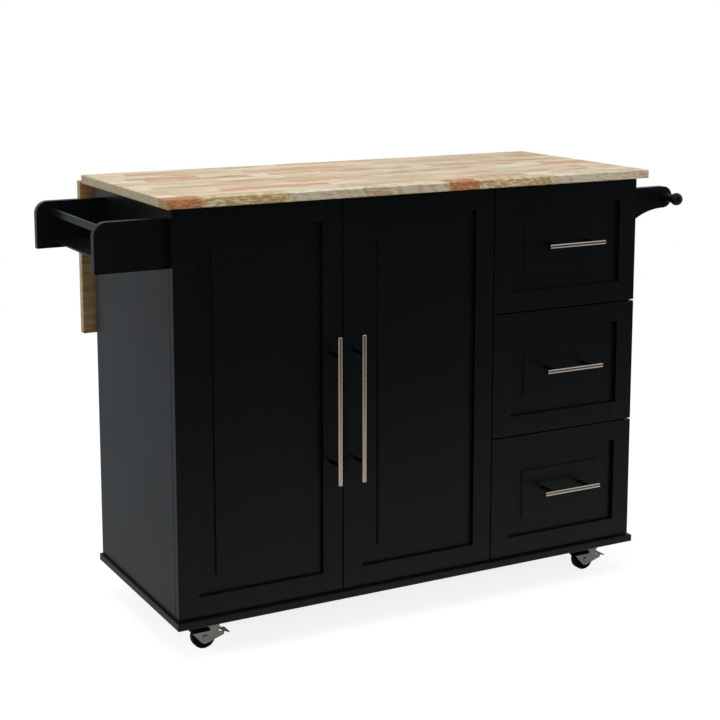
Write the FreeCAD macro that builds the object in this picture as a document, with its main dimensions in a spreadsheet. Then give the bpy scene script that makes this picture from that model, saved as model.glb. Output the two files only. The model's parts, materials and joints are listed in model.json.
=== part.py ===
import FreeCAD, Part
import math
import os
import re

import Sketcher

# Kitchen cart: a cabinet on casters with a wooden worktop, a drop leaf at the back,
# two framed doors, three framed drawers, a spice rack at the left and a towel rail at the right.
# Frame: X to the right, Y from the fronts to the back, Z up; origin on the floor under the middle
# of the whole cart. All lengths are in millimetres.

SIZES = {
    # Worktop
    "worktop_length": "1126",
    "worktop_depth": "492",
    "worktop_thickness": "18",
    "worktop_height": "920",
    "worktop_side_overhang": "17",
    "worktop_front_overhang": "21",
    "worktop_back_overhang": "27",
    "worktop_edge_bevel": "1.2",
    # Case
    "board_thickness": "15",
    "back_panel_thickness": "9",
    "stretcher_depth": "60",
    "base_thickness": "15",
    "base_side_overhang": "5.5",
    "base_front_overhang": "10.5",
    "base_back_overhang": "5.5",
    "base_edge_bevel": "0.8",
    "caster_height": "72",
    # Shelf
    "shelf_play": "1",
    "shelf_front_inset": "20",
    "shelf_pin_radius": "2.5",
    "shelf_pin_length": "16",
    "shelf_pin_depth": "8",
    "shelf_pin_inset": "45",
    "shelf_pin_pitch": "32",
    "shelf_pin_height": "480",
    "hole_clearance": "0.05",
    # Door and drawer fronts
    "front_thickness": "16",
    "front_standoff": "2",
    "front_gap": "3.3",
    "front_top_gap": "3.5",
    "front_bottom_gap": "1.2",
    "left_door_width": "360.5",
    "right_door_width": "356.2",
    "stile_width": "43.5",
    "rail_width": "42",
    "recess_depth": "8.5",
    "panel_thickness": "5.5",
    "tongue_depth": "7",
    "panel_play": "0.1",
    "field_inset": "40",
    "field_rise": "5",
    "field_bevel": "3",
    # Bar pulls
    "pull_bar_radius": "5",
    "pull_bar_chamfer": "0.8",
    "pull_standoff": "40",
    "pull_post_radius": "3.5",
    "door_pull_length": "304",
    "door_pull_post_pitch": "224",
    "door_pull_inset": "25.4",
    "door_pull_height": "477",
    "drawer_pull_length": "144",
    "drawer_pull_post_pitch": "96",
    "drawer_pull_rise": "8",
    # Concealed door hinges
    "door_axis_inset": "5",
    "cup_radius": "13",
    "cup_depth": "11",
    "cup_wall": "1",
    "cup_inset": "18",
    "cup_flange_thickness": "1.2",
    "cup_flange_height": "44",
    "cup_end_inset": "95",
    "arm_gap": "0.3",
    "arm_length": "62",
    "arm_height": "14",
    "arm_nose_width": "5",
    "arm_plate_thickness": "2.5",
    "arm_plate_length": "36",
    "arm_plate_height": "46",
    # Drawers
    "drawer_depth": "400",
    "drawer_top_clearance": "47.9",
    "drawer_board_thickness": "12",
    "drawer_bottom_thickness": "4",
    "drawer_groove_depth": "5",
    "drawer_groove_rise": "9",
    "drawer_box_rise": "30",
    "slide_thickness": "12.7",
    "slide_height": "45",
    "slide_metal": "1.2",
    "slide_rise": "60",
    "slide_length": "400",
    "slide_gap": "0.5",
    "slide_lip": "9",
    "slide_tuck": "3",
    # Drop leaf and its hinges
    "leaf_length": "332",
    "leaf_thickness": "18",
    "leaf_raised_gap": "1",
    "leaf_axis_setback": "8.25",
    "leaf_axis_to_face": "3.3",
    "butt_hinge_length": "75",
    "butt_plate_width": "25",
    "butt_plate_thickness": "1.2",
    "butt_plate_setback": "4.5",
    "butt_knuckle_radius": "2.9",
    "butt_pin_radius": "1.5",
    "butt_pin_head": "1.2",
    "butt_knuckle_gap": "0.3",
    "butt_strap_drop": "0.7",
    "butt_end_inset": "110",
    # Folding supports of the leaf
    "support_inset": "250",
    "support_metal": "2",
    "support_gap": "0.4",
    "wall_flange_width": "20",
    "wall_flange_depth": "17",
    "wall_strip_top": "40",
    "wall_strip_length": "300",
    "wall_slot_width": "6",
    "wall_slot_setback": "10.4",
    "wall_slot_top": "104",
    "arm_strip_top": "20",
    "arm_strip_length": "240",
    "arm_flange_depth": "17",
    "brace_pivot_drop": "130",
    "brace_pivot_setback": "12",
    "brace_width": "14",
    "brace_length": "185",
    "brace_rivet_radius": "3",
    "brace_lean_angle": "5",
    # Spice rack
    "rack_reach": "146.5",
    "rack_length": "369",
    "rack_end_thickness": "16",
    "rack_end_height": "97",
    "rack_drop": "20.5",
    "rack_corner_radius": "26",
    "rack_rail_inset": "29.5",
    "rack_rail_thickness": "6",
    "rack_rail_height": "14",
    "rack_rail_drop": "14.5",
    "rack_floor_thickness": "4",
    "rack_floor_rise": "12.5",
    # Towel rail
    "towel_arm_reach": "132",
    "towel_arm_height": "48",
    "towel_arm_drop": "30",
    "towel_arm_thickness": "18",
    "towel_foot_height": "92",
    "towel_arm_setback": "39",
    "towel_bar_radius": "10",
    "towel_bar_overshoot": "45",
    "towel_knob_radius": "14",
    "towel_bar_clearance": "0.1",
    # Casters
    "wheel_radius": "25",
    "wheel_width": "20",
    "wheel_shoulder": "2.6",
    "tyre_depth": "7",
    "hub_width": "24.4",
    "hub_radius": "7",
    "web_width": "15",
    "axle_radius": "4",
    "axle_head_radius": "6.5",
    "axle_head": "2.5",
    "tyre_clearance": "0.05",
    "caster_trail": "12",
    "caster_inset_left": "91.5",
    "caster_inset_right": "74",
    "caster_inset_y": "70",
    "caster_plate_x": "60",
    "caster_plate_y": "50",
    "caster_plate_thickness": "2.5",
    "caster_plate_round": "5",
    "caster_hole_radius": "2.6",
    "caster_hole_inset": "7",
    "race_radius": "20",
    "race_height": "6.5",
    "race_gap": "0.3",
    "king_pin_radius": "5",
    "king_pin_head_radius": "7.5",
    "king_pin_head": "2",
    "fork_metal": "2.5",
    "fork_side_gap": "0.3",
    "fork_boss_radius": "12.5",
    "fork_crown_radius": "21",
    "fork_crown_drop": "7",
    "fork_neck_back": "2",
    "fork_neck_front": "17",
    "fork_neck_rise": "19",
    "fork_wing_reach": "38.6",
    "fork_wing_rise": "12.7",
    "fork_corner_radius": "1.5",
    "fork_shoulder_rise": "8.3",
    "fork_heel_reach": "28.5",
    "fork_heel_rise": "6",
    # Brake pedals
    "pedal_pivot_x": "9",
    "pedal_pivot_height": "47",
    "pedal_hub_radius": "3.6",
    "pedal_pin_radius": "1.8",
    "pedal_shoe_gap": "0.3",
    "pedal_metal": "2.6",
    "pedal_knee_x": "29",
    "pedal_knee_height": "28.5",
    "pedal_tip_x": "41",
    "pedal_tip_height": "25.5",
    "pedal_width": "16",
    "pedal_tip_width": "28",
    "overrun": "2",
}

PLACES = {
    "centre_x": "(rack_reach - towel_arm_reach) / 2",
    "worktop_left": "centre_x - worktop_length / 2",
    "worktop_right": "centre_x + worktop_length / 2",
    "left_face": "worktop_left + worktop_side_overhang",
    "right_face": "worktop_right - worktop_side_overhang",
    "leaf_outer_gap": "leaf_axis_setback + leaf_axis_to_face + leaf_thickness",
    "pull_reach": "pull_standoff + pull_bar_radius",
    "leaf_reach": "worktop_depth - worktop_front_overhang + leaf_outer_gap",
    "fronts_face": "(pull_reach - leaf_reach) / 2",
    "fronts_back": "fronts_face + front_thickness",
    "case_front": "fronts_back + front_standoff",
    "worktop_front": "fronts_face - worktop_front_overhang",
    "worktop_back": "worktop_front + worktop_depth",
    "case_back": "worktop_back - worktop_back_overhang",
    "back_inner": "case_back - back_panel_thickness",
    "base_top": "caster_height + base_thickness",
    "worktop_bottom": "worktop_height - worktop_thickness",
    "fronts_bottom": "base_top + front_bottom_gap",
    "fronts_top": "worktop_bottom - front_top_gap",
    "drawer_front_height": "(fronts_top - fronts_bottom - 2 * front_gap) / 3",
    "left_door_right": "left_face + left_door_width",
    "right_door_left": "left_door_right + front_gap",
    "right_door_right": "right_door_left + right_door_width",
    "drawers_left": "right_door_right + front_gap",
    "divider_left": "right_door_right + front_gap / 2 - board_thickness / 2",
    "divider_right": "divider_left + board_thickness",
    "cupboard_left": "left_face + board_thickness",
    "drawer_space_right": "right_face - board_thickness",
    "drawer_box_left": "divider_right + slide_thickness",
    "drawer_box_right": "drawer_space_right - slide_thickness",
    "drawer_side_height": "drawer_front_height - drawer_box_rise - drawer_top_clearance",
    "recess_face": "fronts_face + recess_depth",
    "field_face": "recess_face - field_rise",
    "panel_back": "recess_face + panel_thickness",
    "leaf_axis_y": "worktop_back + leaf_axis_setback",
    "leaf_axis_z": "worktop_bottom - leaf_axis_to_face",
    "leaf_inner": "leaf_axis_y + leaf_axis_to_face",
    "leaf_outer": "leaf_inner + leaf_thickness",
    "leaf_top": "leaf_axis_z + leaf_axis_setback - leaf_raised_gap",
    "rack_top": "worktop_bottom - rack_drop",
    "rack_bottom": "rack_top - rack_end_height",
    "rack_outer": "left_face - rack_reach",
    "rack_rail_outer": "rack_outer + rack_rail_inset",
    "towel_arm_top": "worktop_bottom - towel_arm_drop",
    "towel_arm_bottom": "towel_arm_top - towel_arm_height",
    "towel_foot_bottom": "towel_arm_top - towel_foot_height",
    "towel_end_radius": "towel_arm_height / 2",
    "towel_bar_x": "right_face + towel_arm_reach - towel_end_radius",
    "towel_bar_z": "towel_arm_top - towel_end_radius",
    "towel_sag": "towel_arm_bottom - towel_foot_bottom",
    "towel_span": "towel_bar_x - right_face",
    "towel_front": "fronts_face + towel_arm_setback",
    "towel_back": "case_back - towel_arm_setback + front_thickness + front_standoff",
    "hub_outer": "wheel_radius - tyre_depth",
    "fork_inner": "hub_width / 2 + fork_side_gap",
    "fork_outer": "fork_inner + fork_metal",
    "race_bottom": "caster_height - caster_plate_thickness - race_height",
    "fork_top": "race_bottom - race_gap",
    "base_left": "left_face - base_side_overhang",
    "base_right": "right_face + base_side_overhang",
    "base_front": "fronts_face - base_front_overhang",
    "base_back": "case_back + base_back_overhang",
    "shoe_run": "pedal_pivot_x + caster_trail",
    "shoe_rise": "pedal_pivot_height - wheel_radius",
    "shoe_arm": "sqrt(shoe_run ^ 2 + shoe_rise ^ 2)",
    "shoe_reach": "shoe_arm - wheel_radius - pedal_shoe_gap",
}

FULL_TURN = 360
PIN_ROW_STEPS = (-1, 0, 1)
DRAWER_NAMES = ("top", "middle", "bottom")

document = FreeCAD.newDocument("kitchen_cart")


def add_sheet(name, cells, lead):
    """A sheet with one named cell on each row."""
    sheet = document.addObject("Spreadsheet::Sheet", name)
    for row, (alias, content) in enumerate(cells.items(), start=1):
        sheet.set(f"A{row}", alias)
        sheet.set(f"B{row}", lead + content)
        sheet.setAlias(f"B{row}", alias)
    document.recompute()
    return sheet


def with_names(formula, rename):
    """The formula with every named size and place passed through rename."""
    def swap(match):
        word = match.group(0)
        return rename(word) if word in SIZES or word in PLACES else word
    return re.sub(r"[a-z]\w*", swap, formula)


def tied(formula):
    """The formula as another object of the document reads it."""
    return with_names(formula, lambda word: ("Sizes." if word in SIZES else "Places.") + word)


sizes = add_sheet("Sizes", SIZES, "")
places = add_sheet("Places", {
    alias: with_names(formula, lambda word: "Sizes." + word if word in SIZES else word)
    for alias, formula in PLACES.items()
}, "=")


def number(formula):
    """The value that a formula has with the sheets as they are."""
    def reading(word):
        return f"({float(getattr(sizes if word in SIZES else places, word)):.12f})"
    return FreeCAD.Units.Quantity(with_names(formula, reading)).Value


def bind(thing, **formulas):
    for prop, formula in formulas.items():
        thing.setExpression(prop, tied(formula))


def bind_base(thing, x="0", y="0", z="0"):
    for letter, formula in zip("xyz", (x, y, z)):
        thing.setExpression(f"Placement.Base.{letter}", tied(formula))


def board(name, x, y, z):
    """A rectangular piece between two places along each axis."""
    thing = document.addObject("Part::Box", name)
    lengths = [f"({high}) - ({low})" for low, high in (x, y, z)]
    bind(thing, Length=lengths[0], Width=lengths[1], Height=lengths[2])
    bind_base(thing, x[0], y[0], z[0])
    return thing


AXIS_TURNS = {
    "x": FreeCAD.Rotation(FreeCAD.Vector(0, 1, 0), 90),
    "y": FreeCAD.Rotation(FreeCAD.Vector(1, 0, 0), -90),
    "z": FreeCAD.Rotation(),
}


def rod(name, axis, radius, along, centre):
    """A cylinder between two places on its axis; centre gives the other two places in X, Y, Z order."""
    thing = document.addObject("Part::Cylinder", name)
    thing.Placement.Rotation = AXIS_TURNS[axis]
    bind(thing, Radius=radius, Height=f"({along[1]}) - ({along[0]})")
    spots = list(centre)
    spots.insert("xyz".index(axis), along[0])
    bind_base(thing, *spots)
    return thing


def fuse(name, *shapes):
    thing = document.addObject("Part::MultiFuse", name)
    thing.Shapes = list(shapes)
    thing.Refine = True
    return thing


def cut(name, base, *tools):
    """The base less its tools."""
    thing = document.addObject("Part::Cut", name)
    thing.Base = base
    thing.Tool = tools[0] if len(tools) == 1 else fuse(name + "_tools", *tools)
    return thing


def group(name, *solids):
    thing = document.addObject("Part::Compound", name)
    thing.Links = list(solids)
    return thing


def arc_of(start, end, turn, radius):
    """The arc of under half a circle from start to end, and which of its ends is the last point."""
    chord = end - start
    rise = math.sqrt(max(radius ** 2 - chord.Length ** 2 / 4, 0))
    left = FreeCAD.Vector(-chord.y, chord.x, 0).normalize()
    side = 1 if turn == "left" else -1
    centre = (start + end) / 2 + left * rise * side
    first, last = (start, end) if turn == "left" else (end, start)
    angles = [math.atan2(point.y - centre.y, point.x - centre.x) for point in (first, last)]
    if angles[1] < angles[0]:
        angles[1] += 2 * math.pi
    circle = Part.Circle(centre, FreeCAD.Vector(0, 0, 1), radius)
    return Part.ArcOfCircle(circle, angles[0], angles[1]), (2 if turn == "left" else 1)


def draw(body, role, points):
    """A closed outline on a plane of the body. A point is (x, y), or (x, y, turn, radius) after an arc."""
    sketch = body.newObject("Sketcher::SketchObject", body.Name + "_outline")
    plane = next(item for item in body.Origin.OriginFeatures if item.Role == role)
    sketch.AttachmentSupport = (plane, [""])
    sketch.MapMode = "FlatFace"
    spots = [FreeCAD.Vector(number(point[0]), number(point[1]), 0) for point in points]
    last_ends = []
    for index, point in enumerate(points):
        if len(point) == 2:
            sketch.addGeometry(Part.LineSegment(spots[index - 1], spots[index]), False)
            last_ends.append(2)
        else:
            arc, last_end = arc_of(spots[index - 1], spots[index], point[2], number(point[3]))
            sketch.addGeometry(arc, False)
            last_ends.append(last_end)
    for index in range(len(points)):
        after = (index + 1) % len(points)
        first_end = 3 - last_ends[after]
        sketch.addConstraint(
            Sketcher.Constraint("Coincident", index, last_ends[index], after, first_end))
    for index, point in enumerate(points):
        for kind, formula in (("DistanceX", point[0]), ("DistanceY", point[1])):
            row = sketch.addConstraint(
                Sketcher.Constraint(kind, -1, 1, index, last_ends[index], number(formula)))
            sketch.setExpression(f"Constraints[{row}]", tied(formula))
        if len(point) == 4:
            row = sketch.addConstraint(Sketcher.Constraint("Radius", index, number(point[3])))
            sketch.setExpression(f"Constraints[{row}]", tied(point[3]))
    return sketch


NORMALS = {"XY_Plane": "z", "XZ_Plane": "y", "YZ_Plane": "x"}


def profile(name, role, points, span):
    """A body with an outline on a plane, as thick as the span along the plane's normal."""
    body = document.addObject("PartDesign::Body", name)
    sketch = draw(body, role, points)
    pad = body.newObject("PartDesign::Pad", name + "_pad")
    pad.Profile = sketch
    pad.Reversed = role == "XZ_Plane"
    bind(pad, Length=f"({span[1]}) - ({span[0]})")
    bind_base(body, **{NORMALS[role]: span[0]})
    sketch.Visibility = False
    return body


def turned(name, axis, points, centre):
    """A body of revolution. A point is (along, radius), with turn and arc radius after an arc."""
    body = document.addObject("PartDesign::Body", name)
    if axis == "x":
        drawn = points
    else:
        mirror = {"left": "right", "right": "left"}
        drawn = [(point[1], point[0]) + tuple(mirror.get(item, item) for item in point[2:])
                 for point in points]
    sketch = draw(body, "XZ_Plane" if axis == "z" else "XY_Plane", drawn)
    turn = body.newObject("PartDesign::Revolution", name + "_turn")
    turn.Profile = sketch
    turn.ReferenceAxis = (sketch, ["H_Axis" if axis == "x" else "V_Axis"])
    turn.Angle = FULL_TURN
    bind_base(body, *centre)
    return body


def eased(body, feature, size, axes="xyz"):
    """Rounds or bevels the body's straight edges that run along the given axes."""
    document.recompute()
    base = body.Tip
    picked = []
    for index, edge in enumerate(base.Shape.Edges, start=1):
        ends = edge.Vertexes[-1].Point - edge.Vertexes[0].Point
        lengths = dict(zip("xyz", (abs(ends.x), abs(ends.y), abs(ends.z))))
        if any(math.isclose(lengths[axis], edge.Length, rel_tol=1e-6) for axis in axes):
            picked.append(f"Edge{index}")
    edging = body.newObject("PartDesign::" + feature, f"{body.Name}_{feature}")
    edging.Base = (base, picked)
    bind(edging, **{"Radius" if feature == "Fillet" else "Size": size})
    return body


def plank(name, x, y, z, edge_bevel):
    """A board with bevelled edges."""
    points = [(x[0], y[0]), (x[1], y[0]), (x[1], y[1]), (x[0], y[1])]
    return eased(profile(name, "XY_Plane", points, z), "Chamfer", edge_bevel)


def reach(start, side, near, far):
    """The span from near to far, measured from start to the right (1) or to the left (-1)."""
    if side > 0:
        return f"{start} + ({near})", f"{start} + ({far})"
    return f"{start} - ({far})", f"{start} - ({near})"


def about(middle, half):
    return f"{middle} - ({half})", f"{middle} + ({half})"


nodes = []


def node(label, thing):
    """Names a finished sub-part."""
    thing.Label = label
    nodes.append(thing)


# Case

def pin_holes(name, face, side):
    """Holes for the shelf pins in a panel's face, in a front and a back column."""
    holes = []
    for column, y in enumerate(("case_front + shelf_pin_inset", "back_inner - shelf_pin_inset")):
        for row, step in enumerate(PIN_ROW_STEPS):
            holes.append(rod(
                f"{name}_hole_{column}_{row}", "x", "shelf_pin_radius + hole_clearance",
                reach(face, side, "-shelf_pin_depth - shelf_play", "overrun"),
                (y, f"shelf_pin_height + ({step}) * shelf_pin_pitch")))
    return holes


def build_case():
    panel_z = ("base_top", "worktop_bottom")
    panel_y = ("case_front", "case_back")
    node("base_board", plank("BaseBoard", ("base_left", "base_right"), ("base_front", "base_back"),
                             ("caster_height", "base_top"), "base_edge_bevel"))
    left = board("LeftSideBlank", ("left_face", "cupboard_left"), panel_y, panel_z)
    node("left_side_panel", cut("LeftSide", left, *pin_holes("LeftSide", "cupboard_left", 1)))
    node("right_side_panel", board("RightSide", ("drawer_space_right", "right_face"), panel_y, panel_z))
    divider = board("DividerBlank", ("divider_left", "divider_right"), ("case_front", "back_inner"), panel_z)
    node("centre_divider", cut("Divider", divider, *pin_holes("Divider", "divider_left", -1)))
    node("back_panel", board("BackPanel", ("cupboard_left", "drawer_space_right"),
                             ("back_inner", "case_back"), panel_z))
    stretcher_z = ("worktop_bottom - board_thickness", "worktop_bottom")
    strips = []
    for bay, x in (("Cupboard", ("cupboard_left", "divider_left")),
                   ("Drawer", ("divider_right", "drawer_space_right"))):
        for end, y in (("Front", ("case_front", "case_front + stretcher_depth")),
                       ("Back", ("back_inner - stretcher_depth", "back_inner"))):
            strips.append(board(f"{bay}{end}Stretcher", x, y, stretcher_z))
    node("top_stretchers", group("Stretchers", *strips))


def build_shelf():
    shelf_bottom = "shelf_pin_height + shelf_pin_radius"
    node("cupboard_shelf", board(
        "Shelf", ("cupboard_left + shelf_play", "divider_left - shelf_play"),
        ("case_front + shelf_front_inset", "back_inner - shelf_play"),
        (shelf_bottom, shelf_bottom + " + board_thickness")))
    pins = []
    for face, side in (("cupboard_left", 1), ("divider_left", -1)):
        for y in ("case_front + shelf_pin_inset", "back_inner - shelf_pin_inset"):
            pins.append(rod(f"ShelfPin{len(pins)}", "x", "shelf_pin_radius",
                            reach(face, side, "-shelf_pin_depth", "shelf_pin_length - shelf_pin_depth"),
                            (y, "shelf_pin_height")))
    node("shelf_pins", group("ShelfPins", *pins))


def build_worktop():
    node("worktop", plank("Worktop", ("worktop_left", "worktop_right"), ("worktop_front", "worktop_back"),
                          ("worktop_bottom", "worktop_height"), "worktop_edge_bevel"))


# Drop leaf

def butt_hinge(name, middle):
    """One butt hinge under the back edge of the worktop: fixed plate, moving plate and pin."""
    knuckle = "butt_hinge_length / 6"
    axis = ("leaf_axis_y", "leaf_axis_z")
    bore_radius = "butt_pin_radius + hole_clearance"
    centre_x = about(middle, knuckle)
    full_x = about(middle, "butt_hinge_length / 2")
    end_spans = (
        (full_x[0], centre_x[0] + " - butt_knuckle_gap"),
        (centre_x[1] + " + butt_knuckle_gap", full_x[1]),
    )

    def bore(part):
        return rod(f"{name}{part}Bore", "x", bore_radius,
                   (full_x[0] + " - overrun", full_x[1] + " + overrun"), axis)

    strap_top = "worktop_bottom - butt_strap_drop"
    plate = profile(f"{name}FixedPlate", "YZ_Plane", [
        ("worktop_back - butt_plate_width", "worktop_bottom"),
        ("worktop_back - butt_plate_width", "worktop_bottom - butt_plate_thickness"),
        ("worktop_back", "worktop_bottom - butt_plate_thickness"),
        ("worktop_back", "worktop_bottom"),
    ], full_x)
    strap = profile(f"{name}FixedStrap", "YZ_Plane", [
        ("worktop_back - butt_plate_thickness", strap_top),
        ("worktop_back - butt_plate_thickness", strap_top + " - butt_plate_thickness"),
        ("leaf_axis_y", strap_top + " - butt_plate_thickness"),
        ("leaf_axis_y", strap_top),
    ], centre_x)
    barrel = rod(f"{name}FixedKnuckle", "x", "butt_knuckle_radius", centre_x, axis)
    fixed = cut(f"{name}Fixed", fuse(f"{name}FixedBlank", plate, strap, barrel), bore("Fixed"))

    face = "leaf_inner"
    sheet_y = (face + " - butt_plate_thickness", face)
    pieces = [board(f"{name}MovingPlate", full_x, sheet_y,
                    ("leaf_axis_z - butt_plate_setback - butt_plate_width",
                     "leaf_axis_z - butt_plate_setback"))]
    for index, span in enumerate(end_spans):
        pieces.append(board(f"{name}MovingStrap{index}", span, sheet_y,
                            ("leaf_axis_z - butt_plate_setback - overrun", "leaf_axis_z")))
        pieces.append(rod(f"{name}MovingKnuckle{index}", "x", "butt_knuckle_radius", span, axis))
    moving = cut(f"{name}Moving", fuse(f"{name}MovingBlank", *pieces), bore("Moving"))

    half = "butt_hinge_length / 2"
    tip = half + " + butt_knuckle_gap"
    pin = turned(f"{name}Pin", "x", [
        (f"-({tip}) - butt_pin_head", "0"),
        (f"{tip} + butt_pin_head", "0"),
        (f"{tip} + butt_pin_head", "butt_knuckle_radius"),
        (tip, "butt_knuckle_radius"),
        (tip, "butt_pin_radius"),
        (f"-({tip})", "butt_pin_radius"),
        (f"-({tip})", "butt_knuckle_radius"),
        (f"-({tip}) - butt_pin_head", "butt_knuckle_radius"),
    ], (middle,) + axis)
    return fixed, moving, pin


def build_leaf():
    node("drop_leaf", plank("Leaf", ("worktop_left", "worktop_right"), ("leaf_inner", "leaf_outer"),
                            ("leaf_top - leaf_length", "leaf_top"), "worktop_edge_bevel"))
    fixed = []
    moving = []
    for index, middle in enumerate(("worktop_left + butt_end_inset", "centre_x",
                                    "worktop_right - butt_end_inset")):
        still, swung, pin = butt_hinge(f"ButtHinge{index}", middle)
        fixed += [still, pin]
        moving.append(swung)
    node("leaf_hinge_fixed_plates", group("LeafHingeFixed", *fixed))
    node("leaf_hinge_moving_plates", group("LeafHingeMoving", *moving))


def wall_strip(name, x, side):
    """The angle strip on the back of the case, with the long slot of its standing flange."""
    top = "leaf_axis_z - wall_strip_top"
    z = (top + " - wall_strip_length", top)
    web_x = reach(x, side, "0", "support_metal")
    flat = board(name + "Flat", reach(x, side, "-wall_flange_width", "support_metal"),
                 ("case_back", "case_back + support_metal"), z)
    web = board(name + "Web", web_x, ("case_back", "case_back + wall_flange_depth"), z)
    slot_y = "case_back + wall_slot_setback"
    slot_z = (top + " - wall_strip_length + wall_slot_width", "leaf_axis_z - wall_slot_top")
    cutter_x = (web_x[0] + " - overrun", web_x[1] + " + overrun")
    slot = board(name + "Slot", cutter_x, about(slot_y, "wall_slot_width / 2"), slot_z)
    ends = [rod(f"{name}SlotEnd{index}", "x", "wall_slot_width / 2", cutter_x, (slot_y, z_end))
            for index, z_end in enumerate(slot_z)]
    return cut(name, fuse(name + "Blank", flat, web), slot, *ends)


def arm_strip(name, x, side):
    """The angle strip on the inner face of the leaf, and the rivet of its brace."""
    top = "leaf_axis_z - arm_strip_top"
    z = (top + " - arm_strip_length", top)
    web_x = reach(x, side, "0", "support_metal")
    pivot = ("leaf_inner - brace_pivot_setback", "leaf_axis_z - brace_pivot_drop")
    flat = board(name + "Flat", reach(x, side, "-wall_flange_width", "support_metal"),
                 ("leaf_inner - support_metal", "leaf_inner"), z)
    web = board(name + "Web", web_x, ("leaf_inner - arm_flange_depth", "leaf_inner"), z)
    hole = rod(name + "Hole", "x", "brace_rivet_radius + hole_clearance",
               (web_x[0] + " - overrun", web_x[1] + " + overrun"), pivot)
    strip = cut(name, fuse(name + "Blank", flat, web), hole)
    far = "2 * support_metal + support_gap"
    stem = rod(name + "RivetStem", "x", "brace_rivet_radius",
               reach(x, side, "-support_metal", f"{far} + support_metal"), pivot)
    head = rod(name + "RivetHead", "x", "2 * brace_rivet_radius",
               reach(x, side, "-support_metal", "-support_metal / 2"), pivot)
    clinch = rod(name + "RivetClinch", "x", "2 * brace_rivet_radius",
                 reach(x, side, f"{far} + support_gap", f"{far} + support_metal"), pivot)
    return strip, fuse(name + "Rivet", stem, head, clinch)


def brace(name, x, side):
    """The flat brace, hung from the rivet on the leaf; its lower end is free."""
    half = "brace_width / 2"
    body = profile(name + "Blank", "YZ_Plane", [
        (half, "0"),
        ("0", half, "left", half),
        (f"-{half}", "0", "left", half),
        (f"-{half}", "-brace_length"),
        ("0", f"-brace_length - {half}", "left", half),
        (half, "-brace_length", "left", half),
    ], ("0", "support_metal"))
    bores = [rod(f"{name}Bore{index}", "x", "brace_rivet_radius + hole_clearance",
                 ("-overrun", "support_metal + overrun"), ("0", z))
             for index, z in enumerate(("0", "-brace_length"))]
    thing = cut(name, body, *bores)
    thing.Placement.Rotation = FreeCAD.Rotation(FreeCAD.Vector(-1, 0, 0), 1)
    bind_base(thing, reach(x, side, "support_metal + support_gap", "2 * support_metal + support_gap")[0],
              "leaf_inner - brace_pivot_setback", "leaf_axis_z - brace_pivot_drop")
    thing.setExpression("Placement.Rotation.Angle", tied("brace_lean_angle"))
    return thing


def build_supports():
    walls = []
    arms = []
    braces = []
    for name, x, side in (("Left", "worktop_left + support_inset", 1),
                          ("Right", "worktop_right - support_inset", -1)):
        walls.append(wall_strip(name + "WallStrip", x, side))
        arms += arm_strip(name + "ArmStrip", x, side)
        braces.append(brace(name + "Brace", x, side))
    node("leaf_wall_strips", group("WallStrips", *walls))
    node("leaf_arm_strips", group("ArmStrips", *arms))
    node("leaf_braces", group("Braces", *braces))


# Framed fronts

def framed_front(name, x, z, bores=()):
    """Two grooved stiles, two rails with tenons between them, and a fielded panel in the grooves."""
    y = ("fronts_face", "fronts_back")
    inner_x = (f"{x[0]} + stile_width", f"{x[1]} - stile_width")
    inner_z = (f"{z[0]} + rail_width", f"{z[1]} - rail_width")
    groove_y = ("recess_face - panel_play", "panel_back + panel_play")
    pocket_x = (f"{inner_x[0]} - tongue_depth", f"{inner_x[1]} + tongue_depth")
    pocket_z = (f"{inner_z[0]} - tongue_depth", f"{inner_z[1]} + tongue_depth")
    long_z = (f"{z[0]} - overrun", f"{z[1]} + overrun")

    pieces = []
    for side, span in (("Left", (x[0], inner_x[0])), ("Right", (inner_x[1], x[1]))):
        blank = board(f"{name}{side}StileBlank", span, y, z)
        groove = board(f"{name}{side}StileGroove", pocket_x, groove_y, long_z)
        tools = [groove] + [bore for bore_side, bore in bores if bore_side == side]
        pieces.append(cut(f"{name}{side}Stile", blank, *tools))
    for end, span, tenon in (("Bottom", (z[0], inner_z[0]), (z[0], pocket_z[0])),
                             ("Top", (inner_z[1], z[1]), (pocket_z[1], z[1]))):
        blank = board(f"{name}{end}RailBlank", inner_x, y, span)
        tongue = board(f"{name}{end}RailTenon",
                       (f"{pocket_x[0]} + panel_play", f"{pocket_x[1]} - panel_play"),
                       ("recess_face", "panel_back"), tenon)
        groove = board(f"{name}{end}RailGroove",
                       (f"{pocket_x[0]} - overrun", f"{pocket_x[1]} + overrun"), groove_y, pocket_z)
        pieces.append(cut(f"{name}{end}Rail", fuse(f"{name}{end}RailBody", blank, tongue), groove))
    frame = group(name + "Frame", *pieces)

    slab = board(name + "PanelSlab",
                 (f"{pocket_x[0]} + panel_play", f"{pocket_x[1]} - panel_play"),
                 ("recess_face", "panel_back"),
                 (f"{pocket_z[0]} + panel_play", f"{pocket_z[1]} - panel_play"))
    foot_x = (f"{inner_x[0]} + field_inset - field_bevel", f"{inner_x[1]} - field_inset + field_bevel")
    foot_z = (f"{inner_z[0]} + field_inset - field_bevel", f"{inner_z[1]} - field_inset + field_bevel")
    field = document.addObject("Part::Wedge", name + "Field")
    bind(field, Ymin="field_face", Ymax="recess_face",
         Xmin=f"{foot_x[0]} + field_bevel", Xmax=f"{foot_x[1]} - field_bevel",
         Zmin=f"{foot_z[0]} + field_bevel", Zmax=f"{foot_z[1]} - field_bevel",
         X2min=foot_x[0], X2max=foot_x[1], Z2min=foot_z[0], Z2max=foot_z[1])
    return frame, fuse(name + "Panel", slab, field)


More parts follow.
